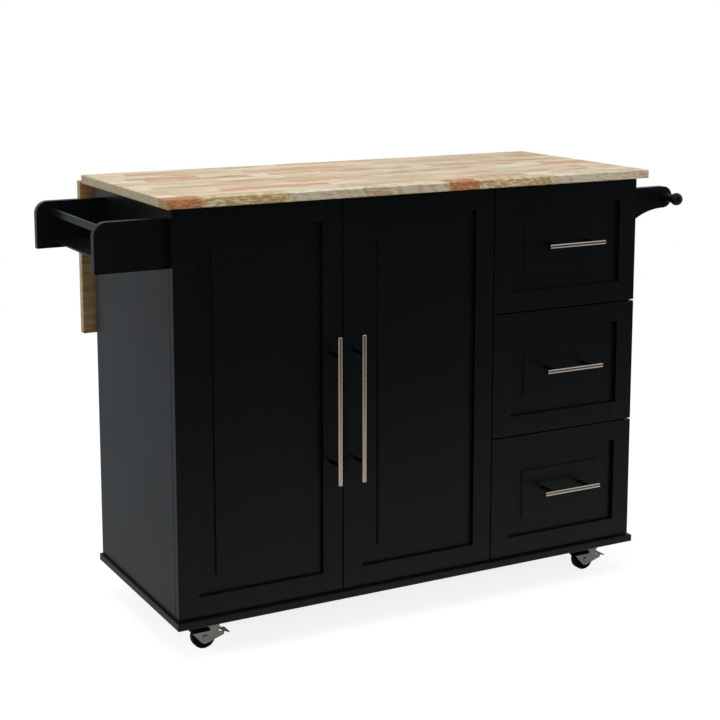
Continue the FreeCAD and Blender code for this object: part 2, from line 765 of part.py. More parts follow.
def bar_pull(name, axis, middle, seat, length, post_pitch):
    """A round bar with chamfered ends on two turned posts."""
    x, z = middle
    bar_y = "fronts_face - pull_standoff"
    half = f"({length}) / 2"
    bar = turned(name + "Bar", axis, [
        (f"-{half}", "0"),
        (half, "0"),
        (half, "pull_bar_radius - pull_bar_chamfer"),
        (f"{half} - pull_bar_chamfer", "pull_bar_radius"),
        (f"-{half} + pull_bar_chamfer", "pull_bar_radius"),
        (f"-{half}", "pull_bar_radius - pull_bar_chamfer"),
    ], (x, bar_y, z))
    posts = []
    for sign in ("-", "+"):
        spot = f"{sign} ({post_pitch}) / 2"
        centre = (x, f"{z} {spot}") if axis == "z" else (f"{x} {spot}", z)
        posts.append(rod(f"{name}Post{len(posts)}", "y", "pull_post_radius", (bar_y, seat), centre))
    return fuse(name, bar, *posts)


def hinge_cup(name, edge, side, z):
    """The pressed cup and flange of a concealed hinge, open towards the case."""
    x = f"{edge} + ({side}) * cup_inset"
    shell = rod(name + "Shell", "y", "cup_radius", ("fronts_back - cup_depth", "fronts_back"), (x, z))
    flange = board(name + "Flange", reach(edge, side, "door_axis_inset", "cup_inset + cup_radius"),
                   ("fronts_back", "fronts_back + cup_flange_thickness"),
                   about(z, "cup_flange_height / 2"))
    hollow = rod(name + "Hollow", "y", "cup_radius - cup_wall",
                 ("fronts_back - cup_depth + cup_wall", "fronts_back + overrun"), (x, z))
    return cut(name, fuse(name + "Blank", shell, flange), hollow)


def cup_bore(name, edge, side, z):
    x = f"{edge} + ({side}) * cup_inset"
    return rod(name, "y", "cup_radius + hole_clearance",
               ("fronts_back - cup_depth - hole_clearance", "fronts_back + overrun"), (x, z))


def hinge_arm(name, face, edge, side, z):
    """The hinge arm on its mounting plate inside the case, its nose close behind the cup."""
    sign = "+" if side > 0 else "-"
    nose_y = "fronts_back + cup_flange_thickness + arm_gap"
    nose_x = f"{edge} {sign} (cup_inset + arm_nose_width)"
    plate_x = f"{face} {sign} arm_plate_thickness"
    arm_x = f"{face} {sign} 2 * arm_plate_thickness"
    points = [
        (face, "case_front + arm_plate_thickness"),
        (face, "case_front + arm_length"),
        (arm_x, "case_front + arm_length"),
        (arm_x, "case_front + arm_length / 3"),
        (nose_x, "case_front + arm_length / 5"),
        (nose_x, nose_y),
        (f"{nose_x} {'-' if side > 0 else '+'} arm_nose_width", nose_y),
        (f"{nose_x} {'-' if side > 0 else '+'} arm_nose_width", "case_front + arm_plate_thickness"),
    ]
    arm = profile(name + "Arm", "XY_Plane", points, about(z, "arm_height / 2"))
    back = "case_front + arm_length - arm_plate_thickness"
    plate_span = (face, plate_x) if side > 0 else (plate_x, face)
    plate = board(name + "Plate", plate_span, (f"{back} - arm_plate_length", back),
                  about(z, "arm_plate_height / 2"))
    return fuse(name, arm, plate)


def build_doors():
    arms = []
    z = ("fronts_bottom", "fronts_top")
    hinge_heights = ("fronts_bottom + cup_end_inset", "fronts_top - cup_end_inset")
    for label, name, x, edge, side, stile, face in (
            ("left_door", "LeftDoor", ("left_face", "left_door_right"), "left_face", 1,
             "Left", "cupboard_left"),
            ("right_door", "RightDoor", ("right_door_left", "right_door_right"), "right_door_right", -1,
             "Right", "divider_left")):
        bores = []
        cups = []
        for index, height in enumerate(hinge_heights):
            bores.append((stile, cup_bore(f"{name}CupBore{index}", edge, side, height)))
            cups.append(hinge_cup(f"{name}Cup{index}", edge, side, height))
            arms.append(hinge_arm(f"{name}HingeArm{index}", face, edge, side, height))
        frame, panel = framed_front(name, x, z, bores)
        node(f"{label}_frame", frame)
        node(f"{label}_panel", panel)
        pull_x = f"{x[1]} - door_pull_inset" if side > 0 else f"{x[0]} + door_pull_inset"
        node(f"{label}_pull", bar_pull(name + "Pull", "z", (pull_x, "door_pull_height"), "fronts_face",
                                       "door_pull_length", "door_pull_post_pitch"))
        node(f"{label}_hinge_cups", group(name + "Cups", *cups))
    node("door_hinge_arms", group("HingeArms", *arms))


# Drawers

def channel(name, web, lip, height, metal, middle_z, y):
    """A channel of sheet metal along Y: its web at one side, its lips towards the other."""
    sign = "+" if number(lip) > number(web) else "-"
    half = f"({height}) / 2"
    inner = f"{web} {sign} ({metal})"
    points = [
        (web, f"{middle_z} - {half}"),
        (lip, f"{middle_z} - {half}"),
        (lip, f"{middle_z} - {half} + {metal}"),
        (inner, f"{middle_z} - {half} + {metal}"),
        (inner, f"{middle_z} + {half} - {metal}"),
        (lip, f"{middle_z} + {half} - {metal}"),
        (lip, f"{middle_z} + {half}"),
        (web, f"{middle_z} + {half}"),
    ]
    return profile(name, "XZ_Plane", points, y)


def drawer_slides(name, bottom):
    """The case and drawer members of a pair of drawer slides."""
    middle = f"{bottom} + slide_rise"
    y = ("fronts_back + front_standoff", "fronts_back + front_standoff + slide_length - slide_lip")
    inner_height = "slide_height - 2 * slide_metal - 2 * slide_gap"
    case_members = []
    drawer_members = []
    for index, (wall, side, sign) in enumerate((("divider_right", 1, "+"), ("drawer_space_right", -1, "-"))):
        case_members.append(channel(f"{name}CaseMember{index}", wall, f"{wall} {sign} slide_lip",
                                    "slide_height", "slide_metal", middle, y))
        drawer_members.append(channel(
            f"{name}DrawerMember{index}", f"{wall} {sign} slide_thickness",
            f"{wall} {sign} slide_tuck", inner_height, "slide_metal", middle, y))
    return case_members, drawer_members


def drawer_box(name, bottom):
    """Four boards with a groove round the inside, and the bottom that lies in it."""
    x = ("drawer_box_left", "drawer_box_right")
    inner_x = ("drawer_box_left + drawer_board_thickness", "drawer_box_right - drawer_board_thickness")
    y = ("fronts_back", "fronts_back + drawer_depth")
    inner_y = ("fronts_back + drawer_board_thickness",
               "fronts_back + drawer_depth - drawer_board_thickness")
    z = (bottom, f"{bottom} + drawer_side_height")
    floor_z = (f"{bottom} + drawer_groove_rise", f"{bottom} + drawer_groove_rise + drawer_bottom_thickness")
    groove_x = (f"{inner_x[0]} - drawer_groove_depth", f"{inner_x[1]} + drawer_groove_depth")
    groove_y = (f"{inner_y[0]} - drawer_groove_depth", f"{inner_y[1]} + drawer_groove_depth")
    walls = []
    for part, wall_x, wall_y in (("Left", (x[0], inner_x[0]), y), ("Right", (inner_x[1], x[1]), y),
                                 ("Front", inner_x, (y[0], inner_y[0])),
                                 ("Back", inner_x, (inner_y[1], y[1]))):
        groove = board(f"{name}{part}Groove", groove_x, groove_y,
                       (f"{floor_z[0]} - panel_play", f"{floor_z[1]} + panel_play"))
        walls.append(cut(f"{name}{part}", board(f"{name}{part}Blank", wall_x, wall_y, z), groove))
    floor = board(name + "Floor", (f"{groove_x[0]} + panel_play", f"{groove_x[1]} - panel_play"),
                  (f"{groove_y[0]} + panel_play", f"{groove_y[1]} - panel_play"), floor_z)
    return group(name, *walls), floor


def build_drawers():
    case_rails = []
    x = ("drawers_left", "right_face")
    for index, word in enumerate(DRAWER_NAMES):
        top = f"fronts_top - {index} * (drawer_front_height + front_gap)"
        z = (f"{top} - drawer_front_height", top)
        name = word.capitalize() + "Drawer"
        frame, panel = framed_front(name, x, z)
        node(f"{word}_drawer_front_frame", frame)
        node(f"{word}_drawer_front_panel", panel)
        middle = (f"({x[0]} + {x[1]}) / 2", f"{z[0]} + drawer_front_height / 2 + drawer_pull_rise")
        node(f"{word}_drawer_pull", bar_pull(name + "Pull", "x", middle, "field_face",
                                             "drawer_pull_length", "drawer_pull_post_pitch"))
        bottom = f"{z[0]} + drawer_box_rise"
        box, floor = drawer_box(name + "Box", bottom)
        node(f"{word}_drawer_box", box)
        node(f"{word}_drawer_bottom", floor)
        case_members, drawer_members = drawer_slides(name, bottom)
        node(f"{word}_drawer_slide_members", group(name + "SlideMembers", *drawer_members))
        case_rails += case_members
    node("drawer_slide_rails", group("SlideRails", *case_rails))


# Spice rack

def build_rack():
    """Two end boards with a rounded outer corner, a rail between them and a thin floor."""
    ends = []
    for index, y in enumerate((("case_front", "case_front + rack_end_thickness"),
                               ("case_front + rack_length - rack_end_thickness",
                                "case_front + rack_length"))):
        ends.append(profile(f"RackEnd{index}", "XZ_Plane", [
            ("left_face", "rack_bottom"),
            ("left_face", "rack_top"),
            ("rack_outer + rack_corner_radius", "rack_top"),
            ("rack_outer", "rack_top - rack_corner_radius", "left", "rack_corner_radius"),
            ("rack_outer", "rack_bottom"),
        ], y))
    node("spice_rack_ends", group("RackEnds", *ends))
    between = ("case_front + rack_end_thickness", "case_front + rack_length - rack_end_thickness")
    node("spice_rack_rail", board(
        "RackRail", ("rack_rail_outer", "rack_rail_outer + rack_rail_thickness"), between,
        ("rack_top - rack_rail_drop - rack_rail_height", "rack_top - rack_rail_drop")))
    node("spice_rack_floor", board(
        "RackFloor", ("rack_rail_outer + rack_rail_thickness", "left_face"), between,
        ("rack_bottom + rack_floor_rise", "rack_bottom + rack_floor_rise + rack_floor_thickness")))


# Towel rail

def build_towel_rail():
    """Two brackets swept out from a tall foot to a round end, and the bar through them."""
    sweep_radius = "(towel_span ^ 2 + towel_sag ^ 2) / (2 * towel_sag)"
    brackets = []
    for index, y in enumerate((("towel_front", "towel_front + towel_arm_thickness"),
                               ("towel_back - towel_arm_thickness", "towel_back"))):
        body = profile(f"TowelBracketBlank{index}", "XZ_Plane", [
            ("right_face", "towel_foot_bottom"),
            ("towel_bar_x", "towel_arm_bottom", "right", sweep_radius),
            ("towel_bar_x + towel_end_radius", "towel_bar_z", "left", "towel_end_radius"),
            ("towel_bar_x", "towel_arm_top", "left", "towel_end_radius"),
            ("right_face", "towel_arm_top"),
        ], y)
        bore = rod(f"TowelBracketBore{index}", "y", "towel_bar_radius + towel_bar_clearance",
                   (f"{y[0]} - overrun", f"{y[1]} + overrun"), ("towel_bar_x", "towel_bar_z"))
        brackets.append(cut(f"TowelBracket{index}", body, bore))
    node("towel_brackets", group("TowelBrackets", *brackets))

    neck = "sqrt(towel_knob_radius ^ 2 - towel_bar_radius ^ 2)"
    front = "-towel_bar_overshoot"
    back = "towel_back - towel_front + towel_bar_overshoot"
    node("towel_bar", turned("TowelBar", "y", [
        (f"{back} + towel_knob_radius", "0"),
        (back, "towel_knob_radius", "left", "towel_knob_radius"),
        (f"{back} - {neck}", "towel_bar_radius", "left", "towel_knob_radius"),
        (f"{front} + {neck}", "towel_bar_radius"),
        (front, "towel_knob_radius", "left", "towel_knob_radius"),
        (f"{front} - towel_knob_radius", "0", "left", "towel_knob_radius"),
    ], ("towel_bar_x", "towel_front", "towel_bar_z")))


# Casters

def caster_plate(name, x, y):
    """The screwed plate with the upper race of the swivel, and the king pin riveted in it."""
    half_x = "caster_plate_x / 2"
    half_y = "caster_plate_y / 2"
    plate_z = ("caster_height - caster_plate_thickness", "caster_height")
    plate = eased(profile(name + "Sheet", "XY_Plane", [
        (f"{x} - {half_x}", f"{y} - {half_y}"),
        (f"{x} + {half_x}", f"{y} - {half_y}"),
        (f"{x} + {half_x}", f"{y} + {half_y}"),
        (f"{x} - {half_x}", f"{y} + {half_y}"),
    ], plate_z), "Fillet", "caster_plate_round", "z")
    race = turned(name + "Race", "z", [
        ("race_bottom", "king_pin_radius"),
        ("race_bottom", "race_radius - race_height / 2"),
        ("race_bottom + race_height / 2", "race_radius"),
        ("race_bottom + race_height", "race_radius"),
        ("race_bottom + race_height", "king_pin_radius"),
    ], (x, y, "0"))
    holes = []
    for sign_x in ("-", "+"):
        for sign_y in ("-", "+"):
            spot = (f"{x} {sign_x} ({half_x} - caster_hole_inset)",
                    f"{y} {sign_y} ({half_y} - caster_hole_inset)")
            holes.append(rod(f"{name}Hole{len(holes)}", "z", "caster_hole_radius",
                             (plate_z[0] + " - overrun", plate_z[1] + " + overrun"), spot))
    drilled = cut(name, fuse(name + "Blank", plate, race), *holes)
    head_top = "fork_top - fork_metal - race_gap"
    pin = turned(name + "KingPin", "z", [
        (f"{head_top} - king_pin_head", "0"),
        (f"{head_top} - king_pin_head", "king_pin_head_radius"),
        (head_top, "king_pin_head_radius"),
        (head_top, "king_pin_radius"),
        ("race_bottom", "king_pin_radius"),
        ("race_bottom + race_height", "king_pin_radius"),
        ("race_bottom + race_height", "0"),
    ], (x, y, "0"))
    return drilled, pin


def boss_touch(wheel_x, run, rise, side):
    """Where a straight edge from (run, rise), measured from the axle, touches the boss round the axle."""
    squared = f"(({run}) ^ 2 + ({rise}) ^ 2)"
    along = f"fork_boss_radius ^ 2 / {squared}"
    across = f"({side}) * fork_boss_radius * sqrt({squared} - fork_boss_radius ^ 2) / {squared}"
    return (f"{wheel_x} + ({along}) * ({run}) - ({across}) * ({rise})",
            f"wheel_radius + ({along}) * ({rise}) + ({across}) * ({run})")


def fork_outline(x, wheel_x):
    """A leg of the fork: crown, waist, a wing over the wheel at the back, round boss and a heel in front."""
    wing_z = "wheel_radius + fork_wing_rise"
    back = boss_touch(wheel_x, "caster_trail - fork_wing_reach", "fork_wing_rise - fork_corner_radius", 1)
    front = boss_touch(wheel_x, "caster_trail + fork_heel_reach", "0", -1)
    return [
        (f"{x} - fork_crown_radius", "fork_top"),
        (f"{x} - fork_crown_radius", "fork_top - fork_crown_drop"),
        (f"{x} - fork_neck_back", "wheel_radius + fork_neck_rise"),
        (f"{x} - fork_neck_back", wing_z),
        (f"{x} - fork_wing_reach + fork_corner_radius", wing_z),
        (f"{x} - fork_wing_reach", f"{wing_z} - fork_corner_radius", "left", "fork_corner_radius"),
        back,
        (wheel_x, "wheel_radius - fork_boss_radius", "left", "fork_boss_radius"),
        front + ("left", "fork_boss_radius"),
        (f"{x} + fork_heel_reach", "wheel_radius"),
        (f"{x} + fork_heel_reach", "wheel_radius + fork_heel_rise"),
        (f"{x} + fork_neck_front", "wheel_radius + fork_shoulder_rise"),
        (f"{x} + fork_neck_front", "wheel_radius + fork_neck_rise"),
        (f"{x} + fork_crown_radius", "fork_top - 2 * fork_crown_drop"),
        (f"{x} + fork_crown_radius", "fork_top"),
    ]


def fork(name, x, y, with_brake):
    """The pressed fork, its axle and, with a brake, the pin of the pedal."""
    wheel_x = f"{x} - caster_trail"
    side = profile(name + "Side", "XZ_Plane", fork_outline(x, wheel_x), about(y, "fork_outer"))
    slot = board(name + "Slot",
                 (f"{x} - 2 * fork_crown_radius", f"{x} + 2 * fork_crown_radius"),
                 about(y, "fork_inner"), ("0", "fork_top - fork_metal"))
    king_hole = rod(name + "KingHole", "z", "king_pin_radius + hole_clearance",
                    ("fork_top - fork_metal - overrun", "fork_top + overrun"), (x, y))
    through = about(y, "fork_outer + overrun")
    tools = [slot, king_hole,
             rod(name + "AxleHole", "y", "axle_radius + hole_clearance", through, (wheel_x, "wheel_radius"))]
    pieces = []
    if with_brake:
        pivot = (f"{x} + pedal_pivot_x", "pedal_pivot_height")
        tools.append(rod(name + "PedalHole", "y", "pedal_pin_radius + hole_clearance", through, pivot))
        pieces.append(rod(name + "PedalPin", "y", "pedal_pin_radius",
                          about(y, "fork_outer + axle_head / 2"), pivot))
    half = "fork_outer"
    axle = turned(name + "Axle", "y", [
        (f"-{half} - axle_head", "0"),
        (f"{half} + axle_head", "0"),
        (f"{half} + axle_head", "axle_head_radius - axle_head / 2"),
        (half, "axle_head_radius"),
        (half, "axle_radius"),
        (f"-{half}", "axle_radius"),
        (f"-{half}", "axle_head_radius"),
        (f"-{half} - axle_head", "axle_head_radius - axle_head / 2"),
    ], (wheel_x, y, "wheel_radius"))
    return group(name, cut(name + "Sheet", side, *tools), axle, *pieces)


def wheel(name, x, y):
    """A tyre with bevelled shoulders on a hub with a long boss."""
    centre = (f"{x} - caster_trail", y, "wheel_radius")
    half = "wheel_width / 2"
    tyre = turned(name + "Tyre", "y", [
        (f"-{half}", "hub_outer + tyre_clearance"),
        (half, "hub_outer + tyre_clearance"),
        (half, "wheel_radius - wheel_shoulder"),
        (f"{half} - wheel_shoulder", "wheel_radius"),
        (f"-{half} + wheel_shoulder", "wheel_radius"),
        (f"-{half}", "wheel_radius - wheel_shoulder"),
    ], centre)
    bore = "axle_radius + hole_clearance"
    hub = turned(name + "Hub", "y", [
        ("-hub_width / 2", bore),
        ("hub_width / 2", bore),
        ("hub_width / 2", "hub_radius"),
        ("web_width / 2", "hub_radius"),
        ("web_width / 2", "hub_outer"),
        ("-web_width / 2", "hub_outer"),
        ("-web_width / 2", "hub_radius"),
        ("-hub_width / 2", "hub_radius"),
    ], centre)
    return group(name, tyre, hub)


def brake_pedal(name, x, y):
    """A bent lever on the fork's pin, with a shoe towards the tyre and a flared foot."""
    pivot_x = f"{x} + pedal_pivot_x"
    knee_x = f"{x} + pedal_knee_x"
    tip_x = f"{x} + pedal_tip_x"
    lever = profile(name + "Lever", "XZ_Plane", [
        (pivot_x, "pedal_pivot_height + pedal_hub_radius"),
        (f"{pivot_x} - pedal_hub_radius", "pedal_pivot_height", "left", "pedal_hub_radius"),
        (f"{pivot_x} - shoe_reach * shoe_run / shoe_arm",
         "pedal_pivot_height - shoe_reach * shoe_rise / shoe_arm"),
        (pivot_x, "pedal_pivot_height - pedal_hub_radius"),
        (knee_x, "pedal_knee_height"),
        (tip_x, "pedal_tip_height"),
        (tip_x, "pedal_tip_height + pedal_metal"),
        (f"{knee_x} + pedal_metal", "pedal_knee_height + pedal_metal"),
    ], about(y, "pedal_width / 2"))
    foot = profile(name + "Foot", "XY_Plane", [
        (knee_x, f"{y} - pedal_width / 2"),
        (tip_x, f"{y} - pedal_tip_width / 2"),
        (tip_x, f"{y} + pedal_tip_width / 2"),
        (knee_x, f"{y} + pedal_width / 2"),
    ], ("0", "pedal_pivot_height"))
    wide = profile(name + "Wide", "XZ_Plane", [
        (knee_x, "pedal_knee_height"),
        (tip_x, "pedal_tip_height"),
        (tip_x, "pedal_tip_height + pedal_metal"),
        (f"{knee_x} + pedal_metal", "pedal_knee_height + pedal_metal"),
    ], about(y, "pedal_tip_width / 2"))
    flare = document.addObject("Part::MultiCommon", name + "Flare")
    flare.Shapes = [foot, wide]
    bore = rod(name + "Bore", "y", "pedal_pin_radius + hole_clearance",
               about(y, "pedal_tip_width"), (pivot_x, "pedal_pivot_height"))
    return cut(name, fuse(name + "Blank", lever, flare), bore)


def build_casters():
    plates = []
    for label, name, x, y in (
            ("front_left", "FrontLeft", "base_left + caster_inset_left", "base_front + caster_inset_y"),
            ("front_right", "FrontRight", "base_right - caster_inset_right", "base_front + caster_inset_y"),
            ("back_left", "BackLeft", "base_left + caster_inset_left", "base_back - caster_inset_y"),
            ("back_right", "BackRight", "base_right - caster_inset_right", "base_back - caster_inset_y")):
        with_brake = label.startswith("front")
        plates += caster_plate(name + "Plate", x, y)
        node(f"{label}_caster_fork", fork(name + "Fork", x, y, with_brake))
        node(f"{label}_caster_wheel", wheel(name + "Wheel", x, y))
        if with_brake:
            node(f"{label}_brake_pedal", brake_pedal(name + "Pedal", x, y))
    node("caster_plates", group("CasterPlates", *plates))


def check_and_export():
    document.recompute()
    faults = [thing.Name for thing in document.Objects
              if "Invalid" in thing.State or "Error" in thing.State]
    for thing in nodes:
        if thing.Shape.isNull() or not thing.Shape.isValid() or not thing.Shape.Solids:
            faults.append(thing.Label)
    if faults:
        raise RuntimeError("These objects failed: " + ", ".join(faults))
    os.makedirs("parts", exist_ok=True)
    for thing in nodes:
        thing.Shape.exportStep(os.path.join("parts", thing.Label + ".step"))
        print(thing.Label, len(thing.Shape.Solids), "solids")
    print(len(nodes), "nodes")


build_case()
build_shelf()
build_worktop()
build_leaf()
build_supports()
build_doors()
build_drawers()
build_rack()
build_towel_rail()
build_casters()
check_and_export()
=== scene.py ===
import json
import math

import bmesh
import bpy
from mathutils import Matrix, Vector

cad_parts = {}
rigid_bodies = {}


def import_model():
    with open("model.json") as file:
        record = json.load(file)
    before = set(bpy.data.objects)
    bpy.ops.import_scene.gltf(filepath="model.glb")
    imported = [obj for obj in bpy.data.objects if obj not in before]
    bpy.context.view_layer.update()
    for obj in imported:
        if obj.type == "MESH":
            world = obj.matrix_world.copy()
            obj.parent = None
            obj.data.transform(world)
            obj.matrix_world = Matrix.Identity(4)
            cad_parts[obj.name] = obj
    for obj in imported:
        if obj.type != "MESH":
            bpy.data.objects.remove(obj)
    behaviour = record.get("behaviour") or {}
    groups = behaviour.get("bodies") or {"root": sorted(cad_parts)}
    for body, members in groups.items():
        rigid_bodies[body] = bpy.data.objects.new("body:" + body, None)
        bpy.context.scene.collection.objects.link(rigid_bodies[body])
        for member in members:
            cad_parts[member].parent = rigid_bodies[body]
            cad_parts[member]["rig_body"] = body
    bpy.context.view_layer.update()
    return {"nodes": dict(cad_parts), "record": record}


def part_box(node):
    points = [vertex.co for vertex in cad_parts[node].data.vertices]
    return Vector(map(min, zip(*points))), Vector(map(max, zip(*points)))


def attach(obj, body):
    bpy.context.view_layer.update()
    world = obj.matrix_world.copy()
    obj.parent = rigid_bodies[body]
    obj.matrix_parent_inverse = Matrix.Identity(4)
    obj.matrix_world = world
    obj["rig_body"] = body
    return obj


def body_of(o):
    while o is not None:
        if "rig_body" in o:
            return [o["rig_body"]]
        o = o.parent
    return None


# Kitchen cart: finishes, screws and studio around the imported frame. Lengths are in metres.

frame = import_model()
MM = 0.001
X, Y, Z = range(3)
QUARTER_TURN = math.radians(90)

# Sub-parts that come in series
SIDES = ("left", "right")
DRAWERS = ("top", "middle", "bottom")
CASTERS = ("front_left", "front_right", "back_left", "back_right")
FRONTS = tuple(f"{side}_door" for side in SIDES) + tuple(f"{drawer}_drawer_front" for drawer in DRAWERS)

# Camera at the photograph's viewing angle. The sensor and the lens are in millimetres
CAMERA_PLACE = (-1.6148, -2.9586, 1.2868)
CAMERA_YAW = 28.416
CAMERA_PITCH = 9.111
CAMERA_SENSOR = 36
CAMERA_LENS = 78.62
CAMERA_SHIFT_SHARE = -0.15
CAMERA_NEAR = 0.05
CAMERA_FAR = 100

# Lamps: place, aimed at, width, height, watts
LAMPS = {
    "overhead": ((-0.3, -0.4, 3.2), (0, 0, 0.9), 3.0, 2.4, 52),
    "right_front": ((3.2, -2.4, 0.7), (0, -0.2, 0.5), 1.4, 1.0, 34),
    "left_wall": ((-3.4, 0.4, 1.3), (0, 0, 0.5), 2.4, 2.2, 46),
    "front_fill": ((-0.8, -4.6, 2.4), (0, 0, 0.5), 2.6, 1.6, 40),
}

# A range is a pair of levels and the pair of limits between which a value runs from one to the other
NOISE_MIDDLE = (0.3, 0.7)

# Surround as seen in reflections: levels over the direction's Y or Z
SURROUND_FRONT = ((0.03, 1.0), (-0.72, -0.35))
SURROUND_BACK = ((1.0, 0.5), (0.05, 0.45))
SURROUND_ABOVE = ((0, 0.26), (0.2, 0.9))
SURROUND_DIFFUSE = 0.42
SURROUND_TINT = (0.90, 0.97, 1.0)

# Floor: it fades over the distance from the middle; in reflections its levels go over Y and its tint over X
FLOOR_HALF = 9
FLOOR_COLOUR = (0.30, 0.30, 0.30)
FLOOR_GLOW = 0.83
FLOOR_FADE = ((0, 1), (1.2, 3.5))
FLOOR_FAR_FRONT = ((0.08, 0.60), (-2.4, -0.7))
FLOOR_NEAR_FRONT = ((0.10, 1.0), (-0.62, -0.36))
FLOOR_BACK = ((1.0, 0.46), (-0.3, 0.0))
FLOOR_LEFT = ((1, 0), (-0.68, -0.60))
FLOOR_TINT = (0.99, 1.0, 0.95)
FLOOR_LEFT_TINT = (0.87, 0.94, 1.0)
WHITE = (1, 1, 1)

# Edges
EDGE_WIDTH = 0.4 * MM
EDGE_SEGMENTS = 2
EDGE_ANGLE = 32
FLAT_ANGLE = 0.5
WELD_DISTANCE = 0.005 * MM
EDGE_TURN = ((1, 0), (0.75, 0.99))
EDGE_SAMPLES = 4

# Paint. A noise is its scale, detail and roughness
BLACK = (0.0036, 0.0045, 0.0050)
# Lighter colour of the rounded edges: partly painted highlight, partly slight rubbing
RUBBED_AND_HIGHLIT_BLACK = (0.028, 0.031, 0.035)
BLACK_GLOSS = 0.27
BLACK_SPECULAR = 0.15
LAMINATE_BLACK = (0.0040, 0.0052, 0.0058)
LAMINATE_GLOSS = 0.34
LAMINATE_SPECULAR = 0.37
DARKER_SHARE = 0.6
PAINT_CLOUD = (3.5, 4, 0.5)
PAINT_PEEL = (700, 2, 0.5)
PAINT_PEEL_DEPTH = 0.02 * MM
PAINT_SCUFF = (60, 6, 0.65)
PAINT_SCUFF_RANGE = ((0.15, 1), (0.45, 0.7))
PAINT_SCUFF_SHARE = 0.3
PAINT_RUBBED_HIGHLIGHT_WIDTH = 1.2 * MM
PAINT_CLOUD_LEVELS = (0, 0.5)
PAINT_WORN_LIMITS = (0.4, 0.9)
PAINT_GLOSS_SPREAD = (-0.04, 0.06)
RELIEF_SHARE = 0.5

# Butt joints of the framed fronts
STILE_WIDTH = 43.5 * MM
JOINT_LINE = ((1, 0), (0.25 * MM, 0.7 * MM))
JOINT_SHARE = 0.75
JOINT_BLACK = (0.0008, 0.0008, 0.0008)
JOINT_DEPTH = 0.25 * MM

# Staves and blocks of the wood. The front edge repeats its blocks with a period
STAVE_WIDTH = 41 * MM
FIRST_ROW_LIMIT = 0.5
BLOCK_PERIOD = 615 * MM
BLOCK_END_SHARES = (0, 0.1155, 0.411)
LAST_BLOCK_SHARE = BLOCK_END_SHARES[-1]
BLOCK_JOINT = ((1, 0), (0, 0.0011))
BLOCK_START_FACTOR = 9
BLOCK_STRETCH_LEVELS = (0.1, 0.9)
BLOCK_RUN_FACTOR = 5.3
BLOCK_ROW_FACTOR = 31.7
LEAF_LOW_ROW = 20
WOOD_TONES = [
    (0.0, (0.74, 0.65, 0.49)),
    (0.17, (0.80, 0.75, 0.64)),
    (0.30, (0.73, 0.54, 0.38)),
    (0.42, (0.77, 0.70, 0.54)),
    (0.56, (0.66, 0.50, 0.35)),
    (0.66, (0.78, 0.67, 0.51)),
    (0.80, (0.71, 0.43, 0.27)),
    (0.87, (0.70, 0.60, 0.44)),
]
FRONT_TONES = list(zip(BLOCK_END_SHARES, ((0.64, 0.29, 0.13), (0.80, 0.70, 0.46), (0.76, 0.69, 0.54))))
DARK_WOOD = (0.52, 0.40, 0.26)
PALE_WOOD = (0.80, 0.74, 0.62)
STRIPE_WOOD = (0.66, 0.65, 0.52)
END_WOOD = (0.27, 0.24, 0.15)
# Brown multiplied onto the worktop's underside and the hanging leaf's inner face: painted shade
UNDER_SHADE_WOOD = (0.42, 0.33, 0.12)
SEAM_WOOD = (0.26, 0.16, 0.08)
# Colour of the wood's rounded edges: painted shade
EDGE_SHADE_WOOD = (0.34, 0.20, 0.09)

# Growth rings
RING_PITCH = 7 * MM
HEART_SIDE_LEVELS = (-34 * MM, 34 * MM)
HEART_DEPTH_LEVELS = (-52 * MM, -16 * MM)
HEART_TILT_LEVELS = (-0.09, 0.09)
RING_WANDER_SCALE = (2.2, 14, 14)
RING_WANDER = (1, 4, 0.5)
RING_WANDER_WIDTH = 14 * MM

# Figure of the wood. A layer is its noise scale along and across the grain, and its detail
WOOD_LAYERS = {
    "broad": (5, 45, 4),
    "grain": (8, 210, 4),
    "dashes": (85, 290, 3),
    "fine": (26, 620, 3),
    "pores": (110, 1300, 1),
}
LAYER_ROUGHNESS = 0.6
LAYER_SHIFT = 7.0
RING_SHADE = ((-0.05, 0.36), (0.3, 1))
BROAD_SHADE = ((-0.12, 0.34), NOISE_MIDDLE)
GRAIN_SHADE = ((-0.05, 0.38), (0.42, 0.66))
DASH_SHADE = ((-0.25, 1.25), (0.45, 0.58))
FINE_SHADE = ((-0.1, 0.25), NOISE_MIDDLE)
PORE_RANGE = ((0, 1), (0.62, 0.72))
PORE_SHARE = 0.35
CALM_STEP_SHARE = 0.001
CALM_RANGE = ((1.0, 0.35), (LAST_BLOCK_SHARE - CALM_STEP_SHARE, LAST_BLOCK_SHARE + CALM_STEP_SHARE))
PALE_RANGE = ((0.5, 0), (0.3, 0.5))
STRIPE_TILT = -38
STRIPE_SIZES = (13 * MM, 60 * MM, 90 * MM)
STRIPE_NOISE = (1, 2, 0.5)
STRIPE_RANGE = ((0, 0.7), (0.44, 0.6))
END_RANGE = ((0, 0.78), (0.4, 0.6))
UNDER_SHADE_LIMITS = (-0.4, -0.6)
WORKTOP_UNDER_SHADE_SHARE = 0.3
LEAF_UNDER_SHADE_SHARE = 0.80
SEAM_RANGE = ((0, 1), (0.488, 0.5))
SEAM_SHARE = 0.35
WOOD_EDGE_WIDTH = 0.9 * MM
WOOD_EDGE_SHADE_SHARE = 0.3
WOOD_ROUGHNESS_LEVELS = (0.46, 0.62)
WOOD_DEPTH = 0.05 * MM
WOOD_SPECULAR = 0.2

